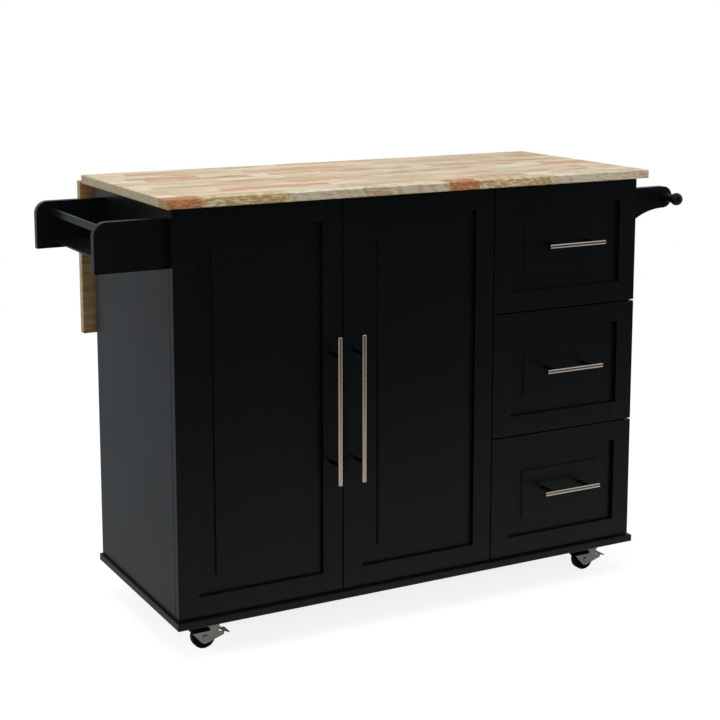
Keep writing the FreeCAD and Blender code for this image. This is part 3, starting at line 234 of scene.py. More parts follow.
# Brushed nickel of the pulls: one nickel in two colours, the drawer pulls' painted darker as painted shade
# and the door pulls' lighter as painted light
NICKEL_X_SHADED = (0.54, 0.45, 0.395)
NICKEL_Z_LIT = (0.74, 0.60, 0.49)
NICKEL_ROUGHNESS = 0.14
BRUSHED_ALONG = 12
BRUSHED_ACROSS = 900
BRUSHED_LINES = (1, 3, 0.7)
BRUSHED_CLOUD = (40, 3, 0.5)
BRUSHED_CLOUD_SHARE = 0.5
BRUSHED_TONE_LEVELS = (0, 0.4)
BRUSHED_WORN_LIMITS = (0.5, 1.0)
BRUSHED_ROUGHNESS_SPREAD = (-0.06, 0.1)
BRUSHED_DEPTH = 0.01 * MM
PULL_BAR_WIDTH = 10.1 * MM
# Share of the nickel's colour left on the posts behind the bar: painted shade
PULL_POST_SHADE_SHARE = 0.14

# Zinc, steel and rubber
CASTER_ZINC = (0.17, 0.165, 0.155)
WARM_ZINC = (0.215, 0.178, 0.148)
RACE_TOP = 69.4 * MM
CROWN_BOTTOM = 49 * MM
PLAIN_GRAIN_DETAIL = 3
PLAIN_GRAIN_ROUGHNESS = 0.6
PLAIN_CLOUD = (25, 4, 0.5)
PLAIN_TONE_LEVELS = (0, 0.35)
PLAIN_ROUGHNESS_SPREAD = (-0.07, 0.08)
PLAIN_RELIEF_SHARE = 0.6
STEEL_DEPTH = 0.02 * MM
STEEL_SPECULAR = 0.4
RUBBER_DEPTH = 0.05 * MM
RUBBER_SPECULAR = 0.03

# Plain finishes: colour, roughness and scale of the grain
RUBBER = ((0.0022, 0.0028, 0.0045), 0.60, 900)
STEELS = {
    "zinc": ((0.40, 0.40, 0.39), 0.34, 500),
    "race_zinc": (CASTER_ZINC, 0.34, 500),
    "fork_zinc": (CASTER_ZINC, 0.34, 500),
    "pedal_zinc": ((0.075, 0.085, 0.105), 0.3, 500),
    "slide_steel": ((0.50, 0.51, 0.52), 0.38, 300),
}

# Where the zinc is warmer: below the race's top, and above the bottom of the fork's crown
WARM_HEIGHTS = {
    "race_zinc": ("LESS_THAN", RACE_TOP),
    "fork_zinc": ("GREATER_THAN", CROWN_BOTTOM),
}

# Screw heads: radius and rise
BUTT_HEAD = (3.4 * MM, 1.6 * MM)
CASTER_HEAD = (4.2 * MM, 2 * MM)
CUP_HEAD = (2.8 * MM, 0.5 * MM)
DOOR_PULL_HEAD = (4 * MM, 1.4 * MM)
DRAWER_PULL_HEAD = (4 * MM, 1.6 * MM)
MEMBER_HEAD = (3 * MM, 1.2 * MM)
HEAD_PROFILE_SHARES = ((1.0, 0.0), (0.97, 0.45), (0.82, 0.85), (0.62, 1.0))
HEAD_SEGMENTS = 20
CROSS_SHARES = (0.12, 0.46)
CROSS_FLOOR_SHARE = 0.25
SCREW_TURN_RADIANS = 1.1

# Places of the screws on the sheets and boards that they hold
THREE_SHARES = (0.17, 0.5, 0.83)
BUTT_SHEET = 1.2 * MM
BUTT_PLATE_LEAST_DEPTH = 10 * MM
BUTT_FIXED_INSET = 12 * MM
BUTT_MOVING_RISE = 10 * MM
SUPPORT_SHEET = 2 * MM
SUPPORT_FLANGE_MIDDLE = 9 * MM
SUPPORT_STRIP_LEAST_HEIGHT = 100 * MM
CASTER_SHEET = 2.5 * MM
CASTER_HOLE_INSET = 7 * MM
ARM_PLATE = 2.5 * MM
ARM_SETBACK = 18 * MM
ARM_INSET = 7 * MM
CUP_INSET = 4.5 * MM
DOOR_PULL_HALF_PITCH = 112 * MM
DRAWER_PULL_HALF_PITCH = 48 * MM
DRAWER_BOARD = 12 * MM
MEMBER_SHEET = 1.2 * MM
SOLID_STEP = 0.05 * MM


# Shader nodes

def add(tree, kind, inputs=None, **settings):
    """A shader node; an input is a value, or a socket to link."""
    made = tree.nodes.new("ShaderNode" + kind)
    for key, value in settings.items():
        setattr(made, key, value)
    for key, value in (inputs or {}).items():
        if isinstance(value, bpy.types.NodeSocket):
            tree.links.new(value, made.inputs[key])
        else:
            made.inputs[key].default_value = value
    return made


def math_node(tree, operation, *values):
    return add(tree, "Math", dict(enumerate(values)), operation=operation).outputs[0]


def total(tree, first, *others):
    for other in others:
        first = math_node(tree, "ADD", first, other)
    return first


def product(tree, first, second):
    return math_node(tree, "MULTIPLY", first, second)


def vector_node(tree, operation, inputs):
    return add(tree, "VectorMath", inputs, operation=operation).outputs[0]


def new_material(name):
    made = bpy.data.materials.new(name)
    made.use_nodes = True
    made.node_tree.nodes.clear()
    return made, made.node_tree


def place_of(tree, scale=(1, 1, 1)):
    """The object's own coordinates in metres, stretched by scale."""
    spot = add(tree, "TexCoord").outputs["Object"]
    return add(tree, "Mapping", {"Vector": spot, "Scale": scale}).outputs[0]


def parts_of(tree, vector):
    return add(tree, "SeparateXYZ", {0: vector}).outputs


def noise(tree, vector, scale, detail, roughness):
    inputs = {"Vector": vector, "Scale": scale, "Detail": detail, "Roughness": roughness}
    return add(tree, "TexNoise", inputs).outputs[0]


def spread(tree, value, levels, limits=NOISE_MIDDLE, **settings):
    """The value, running from the first level to the second between the limits."""
    inputs = {"Value": value, "From Min": limits[0], "From Max": limits[1],
              "To Min": levels[0], "To Max": levels[1]}
    return add(tree, "MapRange", inputs, **settings).outputs[0]


def around(middle, offsets):
    return tuple(middle + offset for offset in offsets)


def solid(colour, share=1):
    """An opaque colour, made darker by the share."""
    return tuple(part * share for part in colour) + (1,)


def blend(tree, factor, first, second, kind="MIX"):
    made = add(tree, "Mix", {0: factor, 6: first, 7: second}, data_type="RGBA", blend_type=kind)
    return made.outputs[2]


def ramp(tree, factor, stops):
    """The colour of the last stop that the factor has passed."""
    made = add(tree, "ValToRGB", {"Fac": factor})
    made.color_ramp.interpolation = "CONSTANT"
    elements = made.color_ramp.elements
    while len(elements) < len(stops):
        elements.new(1)
    for element, (place, colour) in zip(elements, stops):
        element.position = place
        element.color = solid(colour)
    return made.outputs[0]


def bump(tree, height, distance, strength):
    return add(tree, "Bump", {"Height": height, "Distance": distance, "Strength": strength}).outputs[0]


def shade(tree, colour, roughness, normal, **constants):
    """The surface; constants are set on its own sockets."""
    inputs = {"Base Color": colour, "Roughness": roughness, "Normal": normal}
    inputs.update({key.replace("_", " "): value for key, value in constants.items()})
    surface = add(tree, "BsdfPrincipled", inputs)
    add(tree, "OutputMaterial", {"Surface": surface.outputs[0]})


def edge_share(tree, radius):
    """From 0 on flat faces to 1 on rounded edges."""
    corner = add(tree, "Bevel", {"Radius": radius}, samples=EDGE_SAMPLES).outputs[0]
    flat = add(tree, "NewGeometry").outputs["Normal"]
    facing = add(tree, "VectorMath", {0: corner, 1: flat}, operation="DOT_PRODUCT").outputs["Value"]
    return spread(tree, facing, *EDGE_TURN)


# Paint

def joint_lines(tree, frame_box):
    """Fine lines at the butt joints between the stiles and the rails of one front."""
    low, high = frame_box
    across = parts_of(tree, add(tree, "TexCoord").outputs["Object"])[X]
    off_middle = math_node(tree, "ABSOLUTE", math_node(tree, "SUBTRACT", across, (high.x + low.x) / 2))
    from_side = math_node(tree, "SUBTRACT", (high.x - low.x) / 2, off_middle)
    off_joint = math_node(tree, "ABSOLUTE", math_node(tree, "SUBTRACT", from_side, STILE_WIDTH))
    return spread(tree, off_joint, *JOINT_LINE)


def painted(name, colour, gloss, specular, frame_box=None):
    """Satin paint: fine orange peel, cloudy gloss, edges lightened as painted highlight and slight rubbing,
    and a front's joint lines.
    """
    made, tree = new_material(name)
    spot = place_of(tree)
    cloud = noise(tree, spot, *PAINT_CLOUD)
    scuff = noise(tree, spot, *PAINT_SCUFF)
    # Edges lightened: partly a painted highlight on the rounded edges, partly slight rubbing
    rubbed_and_highlit = product(tree, edge_share(tree, PAINT_RUBBED_HIGHLIGHT_WIDTH), spread(tree, scuff, *PAINT_SCUFF_RANGE))
    tone = blend(tree, spread(tree, cloud, PAINT_CLOUD_LEVELS), solid(colour), solid(colour, DARKER_SHARE))
    base = blend(tree, rubbed_and_highlit, tone, solid(RUBBED_AND_HIGHLIT_BLACK))
    relief = bump(tree, noise(tree, spot, *PAINT_PEEL), PAINT_PEEL_DEPTH, RELIEF_SHARE)
    if frame_box:
        joints = joint_lines(tree, frame_box)
        base = blend(tree, product(tree, joints, JOINT_SHARE), base, solid(JOINT_BLACK))
        groove = {"Height": joints, "Distance": JOINT_DEPTH, "Normal": relief}
        relief = add(tree, "Bump", groove, invert=True).outputs[0]
    worn = total(tree, cloud, product(tree, scuff, PAINT_SCUFF_SHARE))
    roughness = spread(tree, worn, around(gloss, PAINT_GLOSS_SPREAD), PAINT_WORN_LIMITS)
    shade(tree, base, roughness, relief, Specular_IOR_Level=specular)
    return made


# Wood

def stave_rows(tree, place_across, low_row):
    """The number of a place's row, and its place across the row from -0.5 to 0.5."""
    rows = math_node(tree, "DIVIDE", place_across, STAVE_WIDTH)
    row = total(tree, math_node(tree, "FLOOR", rows), low_row)
    return row, math_node(tree, "SUBTRACT", math_node(tree, "FRACT", rows), 0.5)


def block_pattern(tree, along, row):
    """The place along a row as a share of its period, a number of its own for each block, and the joints.

    Row 0 keeps the period of the front edge; the other rows start anywhere and have other block lengths.
    """
    row_noise = add(tree, "TexWhiteNoise", {"W": row}, noise_dimensions="1D").outputs["Value"]
    inner = math_node(tree, "GREATER_THAN", row, FIRST_ROW_LIMIT)
    start = product(tree, inner, product(tree, row_noise, BLOCK_START_FACTOR))
    stretch = total(tree, 1.0, product(tree, inner, spread(tree, row_noise, BLOCK_STRETCH_LEVELS, (0, 1))))
    periods = math_node(tree, "DIVIDE", along, BLOCK_PERIOD)
    run = total(tree, product(tree, periods, stretch), start)
    share = math_node(tree, "FRACT", run)
    number = total(tree, product(tree, math_node(tree, "FLOOR", run), BLOCK_RUN_FACTOR),
                   product(tree, row, BLOCK_ROW_FACTOR))
    joint = 0.0
    for end in BLOCK_END_SHARES:
        number = total(tree, number, math_node(tree, "GREATER_THAN", share, end))
        away = math_node(tree, "ABSOLUTE", math_node(tree, "SUBTRACT", share, end))
        joint = math_node(tree, "MAXIMUM", joint, spread(tree, away, *BLOCK_JOINT))
    return share, number, joint


def growth_rings(tree, side, deep, along, draw):
    """Rings about a heart that lies near each stave and is tilted along it."""
    picks = add(tree, "SeparateColor", {0: draw}).outputs
    heart_side = spread(tree, picks[0], HEART_SIDE_LEVELS, (0, 1))
    heart_deep = spread(tree, picks[1], HEART_DEPTH_LEVELS, (0, 1))
    tilt = spread(tree, picks[2], HEART_TILT_LEVELS, (0, 1))
    across = math_node(tree, "SUBTRACT", side, heart_side)
    depth = math_node(tree, "SUBTRACT", total(tree, deep, product(tree, along, tilt)), heart_deep)
    squares = total(tree, product(tree, across, across), product(tree, depth, depth))
    radius = math_node(tree, "SQRT", squares)
    wander = noise(tree, place_of(tree, RING_WANDER_SCALE), *RING_WANDER)
    bent = total(tree, radius, product(tree, wander, RING_WANDER_WIDTH))
    return math_node(tree, "FRACT", math_node(tree, "DIVIDE", bent, RING_PITCH))


def wood_layers(tree, spot, draw):
    """The noise layers of the figure; each block's figure is drawn from its own place in the noise."""
    offset = vector_node(tree, "SCALE", {0: draw, "Scale": LAYER_SHIFT})
    block_spot = vector_node(tree, "ADD", {0: spot, 1: offset})
    layers = {}
    for name, (along, across, detail) in WOOD_LAYERS.items():
        stretched = add(tree, "Mapping", {"Vector": block_spot, "Scale": (along, across, across)})
        layers[name] = noise(tree, stretched.outputs[0], 1, detail, LAYER_ROUGHNESS)
    layers["pores"] = spread(tree, layers["pores"], *PORE_RANGE)
    return layers


def figure_amount(tree, ring, layers, dashed):
    """How dark the figure is, from 0 to 1, with the dashes where dashed is above 0."""
    amount = total(
        tree, spread(tree, ring, *RING_SHADE), spread(tree, layers["broad"], *BROAD_SHADE),
        spread(tree, layers["grain"], *GRAIN_SHADE),
        product(tree, dashed, spread(tree, layers["dashes"], *DASH_SHADE)),
        spread(tree, layers["fine"], *FINE_SHADE), product(tree, layers["pores"], PORE_SHARE))
    return math_node(tree, "MINIMUM", math_node(tree, "MAXIMUM", amount, 0.0), 1.0)


def pale_stripes(tree, spot):
    """Slanted stripes, as on the longest block of the front edge."""
    inputs = {"Vector": spot, "Rotation": (0, math.radians(STRIPE_TILT), 0), "Scale": STRIPE_SIZES}
    slanted = add(tree, "Mapping", inputs, vector_type="TEXTURE")
    return spread(tree, noise(tree, slanted.outputs[0], *STRIPE_NOISE), *STRIPE_RANGE)


def with_faces(tree, figured, under, under_shade_share):
    """End grain on the faces across X, and a face that looks down the under axis browned as painted shade.
    """
    facing = parts_of(tree, add(tree, "TexCoord").outputs["Normal"])
    end = spread(tree, math_node(tree, "ABSOLUTE", facing[X]), *END_RANGE)
    ended = blend(tree, end, figured, solid(END_WOOD))
    # The face that looks down the under axis is browned: painted shade
    shade_browned = blend(tree, 1.0, figured, solid(UNDER_SHADE_WOOD), "MULTIPLY")
    return blend(tree, spread(tree, facing[under], (0, under_shade_share), UNDER_SHADE_LIMITS), ended, shade_browned)


def figured_wood(tree, spot, row, share, draws, ring, layers):
    """The blocks' colours with their figure; the row of the front edge has tones and dashes of its own."""
    first_row = math_node(tree, "LESS_THAN", row, FIRST_ROW_LIMIT)
    tone = blend(tree, first_row, ramp(tree, draws["Value"], WOOD_TONES), ramp(tree, share, FRONT_TONES))
    dashed = product(tree, first_row, spread(tree, share, *CALM_RANGE))
    pale = blend(tree, spread(tree, layers["broad"], *PALE_RANGE), tone, solid(PALE_WOOD))
    dark = blend(tree, 1.0, tone, solid(DARK_WOOD), "MULTIPLY")
    figured = blend(tree, figure_amount(tree, ring, layers, dashed), pale, dark)
    last_block = product(tree, first_row, math_node(tree, "GREATER_THAN", share, LAST_BLOCK_SHARE))
    return blend(tree, product(tree, last_block, pale_stripes(tree, spot)), figured, solid(STRIPE_WOOD))


def with_seams(tree, faced, seam):
    """Darker seams, and edges darkened as painted shade."""
    seamed = blend(tree, product(tree, seam, SEAM_SHARE), faced, solid(SEAM_WOOD))
    # Edges darkened: painted shade
    edge = product(tree, edge_share(tree, WOOD_EDGE_WIDTH), WOOD_EDGE_SHADE_SHARE)
    return blend(tree, edge, seamed, solid(EDGE_SHADE_WOOD))


def butcher_block(name, across, low, low_row, under, under_shade_share):
    """Finger-jointed staves along X in rows across the given axis, numbered from low_row at the low corner.

    Row 0 has the pattern of the front edge, and the face that looks down the under axis is browned as
    painted shade.
    """
    made, tree = new_material(name)
    spot = add(tree, "TexCoord").outputs["Object"]
    inside = parts_of(tree, vector_node(tree, "SUBTRACT", {0: spot, 1: low}))
    row, in_row = stave_rows(tree, inside[across], low_row)
    share, number, joint = block_pattern(tree, inside[X], row)
    draws = add(tree, "TexWhiteNoise", {"W": number}, noise_dimensions="1D").outputs
    deep = inside[Y + Z - across]
    ring = growth_rings(tree, product(tree, in_row, STAVE_WIDTH), deep, inside[X], draws["Color"])
    layers = wood_layers(tree, spot, draws["Color"])
    figured = figured_wood(tree, spot, row, share, draws, ring, layers)
    faced = with_faces(tree, figured, under, under_shade_share)
    seam = math_node(tree, "MAXIMUM", spread(tree, math_node(tree, "ABSOLUTE", in_row), *SEAM_RANGE), joint)
    height = math_node(tree, "SUBTRACT", layers["fine"], total(tree, layers["pores"], seam))
    shade(tree, with_seams(tree, faced, seam), spread(tree, layers["fine"], WOOD_ROUGHNESS_LEVELS),
          bump(tree, height, WOOD_DEPTH, RELIEF_SHARE), Specular_IOR_Level=WOOD_SPECULAR)
    return made


# Metals and rubber

def brushed_metal(name, colour, stretch):
    """Metal brushed along one axis, with the posts behind the bar painted dark as painted shade: stretch
    scales the noise per axis.
    """
    made, tree = new_material(name)
    bar_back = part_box("left_door_pull")[0].y + PULL_BAR_WIDTH
    behind = math_node(tree, "GREATER_THAN", parts_of(tree, place_of(tree))[Y], bar_back)
    lines = noise(tree, place_of(tree, stretch), *BRUSHED_LINES)
    cloud = noise(tree, place_of(tree), *BRUSHED_CLOUD)
    tone = blend(tree, spread(tree, lines, BRUSHED_TONE_LEVELS), solid(colour), solid(colour, DARKER_SHARE))
    # The posts behind the bar are darkened: painted shade
    tone = blend(tree, behind, tone, solid(colour, PULL_POST_SHADE_SHARE))
    worn = total(tree, lines, product(tree, cloud, BRUSHED_CLOUD_SHARE))
    levels = around(NICKEL_ROUGHNESS, BRUSHED_ROUGHNESS_SPREAD)
    shade(tree, tone, spread(tree, worn, levels, BRUSHED_WORN_LIMITS),
          bump(tree, lines, BRUSHED_DEPTH, RELIEF_SHARE), Metallic=1.0)
    return made


def plain_finish(name, finish, metallic, specular, depth):
    """A finish with a fine even grain."""
    colour, roughness, grain = finish
    made, tree = new_material(name)
    spot = place_of(tree)
    fine = noise(tree, spot, grain, PLAIN_GRAIN_DETAIL, PLAIN_GRAIN_ROUGHNESS)
    cloud = noise(tree, spot, *PLAIN_CLOUD)
    base = solid(colour)
    if name in WARM_HEIGHTS:
        test, limit = WARM_HEIGHTS[name]
        warm = math_node(tree, test, parts_of(tree, spot)[Z], limit)
        base = blend(tree, warm, base, solid(WARM_ZINC))
    tone = blend(tree, spread(tree, cloud, PLAIN_TONE_LEVELS), base, solid(colour, DARKER_SHARE))
    shade(tree, tone, spread(tree, cloud, around(roughness, PLAIN_ROUGHNESS_SPREAD)),
          bump(tree, fine, depth, PLAIN_RELIEF_SHARE), Metallic=metallic, Specular_IOR_Level=specular)
    return made


def finish_list():
    """The finishes in the order of their making: function, name and values."""
    along_x = (BRUSHED_ALONG, BRUSHED_ACROSS, BRUSHED_ACROSS)
    along_z = (BRUSHED_ACROSS, BRUSHED_ACROSS, BRUSHED_ALONG)
    fronts = [(painted, f"{front}_paint", BLACK, BLACK_GLOSS, BLACK_SPECULAR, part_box(f"{front}_frame"))
              for front in FRONTS]
    steels = [(plain_finish, name, steel, 1.0, STEEL_SPECULAR, STEEL_DEPTH)
              for name, steel in STEELS.items()]
    return [
        *fronts,
        (painted, "black_paint", BLACK, BLACK_GLOSS, BLACK_SPECULAR),
        (painted, "black_laminate", LAMINATE_BLACK, LAMINATE_GLOSS, LAMINATE_SPECULAR),
        (butcher_block, "worktop_wood", Y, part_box("worktop")[0], 0, Z, WORKTOP_UNDER_SHADE_SHARE),
        (butcher_block, "leaf_wood", Z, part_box("drop_leaf")[0], LEAF_LOW_ROW, Y, LEAF_UNDER_SHADE_SHARE),
        (brushed_metal, "nickel_x", NICKEL_X_SHADED, along_x),
        (brushed_metal, "nickel_z", NICKEL_Z_LIT, along_z),
        *steels,
        (plain_finish, "rubber", RUBBER, 0.0, RUBBER_SPECULAR, RUBBER_DEPTH),
    ]


# Finishes of the nodes: by name, or else by the record's slot
NODE_FINISHES = {
    "worktop": "worktop_wood",
    "drop_leaf": "leaf_wood",
    "caster_plates": "race_zinc",
    "drawer_slide_rails": "slide_steel",
    **{f"{front}_frame": f"{front}_paint" for front in FRONTS},
    **{f"{caster}_caster_fork": "fork_zinc" for caster in CASTERS},
    **{f"front_{side}_brake_pedal": "pedal_zinc" for side in SIDES},
    **{f"{side}_door_pull": "nickel_z" for side in SIDES},
    **{f"{drawer}_drawer_pull": "nickel_x" for drawer in DRAWERS},
    **{f"{drawer}_drawer_slide_members": "slide_steel" for drawer in DRAWERS},
}
SLOT_FINISHES = {
    "black_paint": "black_paint",
    "black_laminate": "black_laminate",
    "butcher_block": "worktop_wood",
    "brushed_nickel": "nickel_z",
    "zinc_steel": "zinc",
    "caster_rubber": "rubber",
}


def soften(piece):
    """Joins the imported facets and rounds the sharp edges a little."""
    weld = piece.modifiers.new("weld", "WELD")
    weld.merge_threshold = WELD_DISTANCE
    flat = piece.modifiers.new("flat", "DECIMATE")
    flat.decimate_type = "DISSOLVE"
    flat.angle_limit = math.radians(FLAT_ANGLE)
    edge = piece.modifiers.new("edge", "BEVEL")
    edge.width = EDGE_WIDTH
    edge.segments = EDGE_SEGMENTS
    edge.limit_method = "ANGLE"
    edge.angle_limit = math.radians(EDGE_ANGLE)
    edge.use_clamp_overlap = True
    normals = piece.modifiers.new("normals", "WEIGHTED_NORMAL")
    normals.keep_sharp = True


def dress_nodes(finishes):
    slots = {part["node"]: part["material_slot"] for part in frame["record"]["subparts"]}
    for name, piece in frame["nodes"].items():
        finish = NODE_FINISHES.get(name) or SLOT_FINISHES[slots[name]]
        piece.data.materials.clear()
        piece.data.materials.append(finishes[finish])
        soften(piece)


# Screws

def solid_boxes(name):
    """Lowest and highest corner of every separate solid of a node."""
    mesh = frame["nodes"][name].data
    keys = [tuple(round(value / SOLID_STEP) for value in vertex.co) for vertex in mesh.vertices]
    leader = {key: key for key in keys}

    def find(key):
        while leader[key] != key:
            key = leader[key]
        return key

    for edge in mesh.edges:
        first, second = (find(keys[index]) for index in edge.vertices)
        leader[first] = second
    groups = {}
    for vertex, key in zip(mesh.vertices, keys):
        groups.setdefault(find(key), []).append(vertex.co)
    boxes = [tuple(Vector([pick(spot[axis] for spot in group) for axis in (X, Y, Z)]) for pick in (min, max))
             for group in groups.values()]
    return sorted(boxes, key=lambda box: tuple(box[0]))


def cross_outline(thin, long):
    """The twelve corners of a cross whose arms are twice thin wide and reach out by long."""
    corners = ((long, -thin), (long, thin), (thin, thin))
    quarters = ((1, 0), (0, 1), (-1, 0), (0, -1))
    return [(x * cos - y * sin, x * sin + y * cos) for cos, sin in quarters for x, y in corners]


def add_screw(mesh, spot, turn, radius, rise):
    """A domed head with a cross recess, on the plane through spot and facing the turned Z axis."""
    def ring(points, height):
        return [mesh.verts.new(spot + turn @ Vector((x, y, height))) for x, y in points]

    def wall(low, high):
        for index in range(len(low)):
            after = (index + 1) % len(low)
            mesh.faces.new((low[index], low[after], high[after], high[index]))

    def circle(size):
        steps = [2 * math.pi * index / HEAD_SEGMENTS for index in range(HEAD_SEGMENTS)]
        return [(size * math.cos(step), size * math.sin(step)) for step in steps]

    rings = [ring(circle(radius * wide), rise * tall) for wide, tall in HEAD_PROFILE_SHARES]
    for low, high in zip(rings, rings[1:]):
        wall(low, high)
    outline = cross_outline(*(radius * share for share in CROSS_SHARES))
    mouth = ring(outline, rise)
    foot = ring(outline, rise * CROSS_FLOOR_SHARE)
    wall(foot, mouth)
    mesh.faces.new(foot)
    mesh.edges.index_update()
    borders = [mesh.edges.get((loop[index], loop[(index + 1) % len(loop)]))
               for loop in (rings[-1], mouth) for index in range(len(loop))]
    bmesh.ops.triangle_fill(mesh, use_beauty=True, edges=borders)


TURNS = {
    "+x": Matrix.Rotation(QUARTER_TURN, 3, "Y"),
    "-x": Matrix.Rotation(-QUARTER_TURN, 3, "Y"),
    "+y": Matrix.Rotation(-QUARTER_TURN, 3, "X"),
    "-y": Matrix.Rotation(QUARTER_TURN, 3, "X"),
    "-z": Matrix.Rotation(2 * QUARTER_TURN, 3, "X"),
}


def make_screws(name, node, facing, spots, finish, head):
    """One piece with a screw at every spot, going with the node's body."""
    mesh = bmesh.new()
    for index, spot in enumerate(spots):
        turn = TURNS[facing] @ Matrix.Rotation(index * SCREW_TURN_RADIANS, 3, "Z")
        add_screw(mesh, Vector(spot), turn, *head)
    bmesh.ops.recalc_face_normals(mesh, faces=mesh.faces)
    data = bpy.data.meshes.new(name)
    mesh.to_mesh(data)
    mesh.free()
    piece = bpy.data.objects.new(name, data)
    bpy.context.scene.collection.objects.link(piece)
    data.materials.append(finish)
    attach(piece, body_of(frame["nodes"][node])[0])


def three_between(low, high):
    return [low + (high - low) * share for share in THREE_SHARES]


def butt_hinge_screws(finish):
    """Three screws through each plate of the leaf's hinges; the pins are less deep than a plate."""
    fixed = [(low, high) for low, high in solid_boxes("leaf_hinge_fixed_plates")
             if high.y - low.y > BUTT_PLATE_LEAST_DEPTH]
    spots = [(x, low.y + BUTT_FIXED_INSET, high.z - BUTT_SHEET)
             for low, high in fixed for x in three_between(low.x, high.x)]
    make_screws("leaf_hinge_fixed_screws", "leaf_hinge_fixed_plates", "-z", spots, finish, BUTT_HEAD)
    moving = solid_boxes("leaf_hinge_moving_plates")
    spots = [(x, high.y - BUTT_SHEET, low.z + BUTT_MOVING_RISE)
             for low, high in moving for x in three_between(low.x, high.x)]
    make_screws("leaf_hinge_moving_screws", "leaf_hinge_moving_plates", "-y", spots, finish, BUTT_HEAD)


def support_screws(finish):
    """Three screws through the flange of each wall and arm strip; the rivets are lower than a strip."""
    def flange_x(low, high):
        return low.x + SUPPORT_FLANGE_MIDDLE if low.x < 0 else high.x - SUPPORT_FLANGE_MIDDLE

    walls = solid_boxes("leaf_wall_strips")
    spots = [(flange_x(low, high), low.y + SUPPORT_SHEET, z)
             for low, high in walls for z in three_between(low.z, high.z)]
    make_screws("leaf_wall_strip_screws", "leaf_wall_strips", "+y", spots, finish, BUTT_HEAD)
    arms = [(low, high) for low, high in solid_boxes("leaf_arm_strips")
            if high.z - low.z > SUPPORT_STRIP_LEAST_HEIGHT]
    spots = [(flange_x(low, high), high.y - SUPPORT_SHEET, z)
             for low, high in arms for z in three_between(low.z, high.z)]
    make_screws("leaf_arm_strip_screws", "leaf_arm_strips", "-y", spots, finish, BUTT_HEAD)


def caster_screws(finish):
    """A screw at every corner of the casters' plates."""
    spots = [(x, y, high.z - CASTER_SHEET) for low, high in solid_boxes("caster_plates")
             for x in (low.x + CASTER_HOLE_INSET, high.x - CASTER_HOLE_INSET)
             for y in (low.y + CASTER_HOLE_INSET, high.y - CASTER_HOLE_INSET)]
    make_screws("caster_plate_screws", "caster_plates", "-z", spots, finish, CASTER_HEAD)


def hinge_arm_screws(side, facing, finish):
    """Screws through the plates of one door's hinge arms, which are left or right of X = 0."""
    left = side == "left"
    own = [(low, high) for low, high in solid_boxes("door_hinge_arms") if (high.x < 0) == left]
    spots = [(low.x + ARM_PLATE if left else high.x - ARM_PLATE, high.y - ARM_SETBACK, z)
             for low, high in own for z in (low.z + ARM_INSET, high.z - ARM_INSET)]
    make_screws(f"{side}_hinge_arm_screws", "door_hinge_arms", facing, spots, finish, BUTT_HEAD)


def hinge_cup_screws(side, finish):
    cups = f"{side}_door_hinge_cups"
    spots = [((low.x + high.x) / 2, high.y, z) for low, high in solid_boxes(cups)
             for z in (low.z + CUP_INSET, high.z - CUP_INSET)]
    make_screws(f"{side}_hinge_cup_screws", cups, "+y", spots, finish, CUP_HEAD)


def pull_middle(pull):
    low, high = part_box(pull)
    return (low + high) / 2


def door_pull_screws(side, finish):
    door = f"{side}_door_frame"
    middle = pull_middle(f"{side}_door_pull")
    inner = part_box(door)[1].y
    spots = [(middle.x, inner, middle.z + offset)
             for offset in (-DOOR_PULL_HALF_PITCH, DOOR_PULL_HALF_PITCH)]
    make_screws(f"{side}_door_pull_screws", door, "+y", spots, finish, DOOR_PULL_HEAD)


def door_screws(finish):
    for side, facing in (("left", "+x"), ("right", "-x")):
        hinge_arm_screws(side, facing, finish)
        hinge_cup_screws(side, finish)
        door_pull_screws(side, finish)


def slide_member_screws(drawer, finish):
    members = f"{drawer}_drawer_slide_members"
    for side, facing, (low, high) in zip(SIDES, ("-x", "+x"), solid_boxes(members)):
        wall = high.x - MEMBER_SHEET if side == "left" else low.x + MEMBER_SHEET
        spots = [(wall, y, (low.z + high.z) / 2) for y in three_between(low.y, high.y)]
        make_screws(f"{drawer}_{side}_member_screws", members, facing, spots, finish, MEMBER_HEAD)


def drawer_pull_screws(drawer, finish):
    box = f"{drawer}_drawer_box"
    middle = pull_middle(f"{drawer}_drawer_pull")
    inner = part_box(box)[0].y + DRAWER_BOARD
    spots = [(middle.x + offset, inner, middle.z)
             for offset in (-DRAWER_PULL_HALF_PITCH, DRAWER_PULL_HALF_PITCH)]
    make_screws(f"{drawer}_drawer_pull_screws", box, "+y", spots, finish, DRAWER_PULL_HEAD)


def drawer_screws(finish):
    for drawer in DRAWERS:
        slide_member_screws(drawer, finish)
        drawer_pull_screws(drawer, finish)


# Studio

def make_camera():
    data = bpy.data.cameras.new("camera")
    data.sensor_width = CAMERA_SENSOR
    data.lens = CAMERA_LENS
    data.shift_y = CAMERA_SHIFT_SHARE
    data.clip_start = CAMERA_NEAR
    data.clip_end = CAMERA_FAR
    camera = bpy.data.objects.new("camera", data)
    bpy.context.scene.collection.objects.link(camera)
    turn = Matrix.Rotation(math.radians(-CAMERA_YAW), 4, "Z")
    tilt = Matrix.Rotation(math.radians(90 - CAMERA_PITCH), 4, "X")
    camera.matrix_world = Matrix.Translation(CAMERA_PLACE) @ turn @ tilt
    bpy.context.scene.camera = camera


def make_lamps():
    """Soft lamps that light the colours; gloss comes from the surround alone."""
    for name, (place, aim, width, height, watts) in LAMPS.items():
        data = bpy.data.lights.new(name, "AREA")
        data.shape = "RECTANGLE"
        data.size = width
        data.size_y = height
        data.energy = watts
        lamp = bpy.data.objects.new(name, data)
        bpy.context.scene.collection.objects.link(lamp)
        lamp.location = place
        lamp.rotation_euler = (Vector(aim) - Vector(place)).to_track_quat("-Z", "Y").to_euler()
        lamp.visible_glossy = False


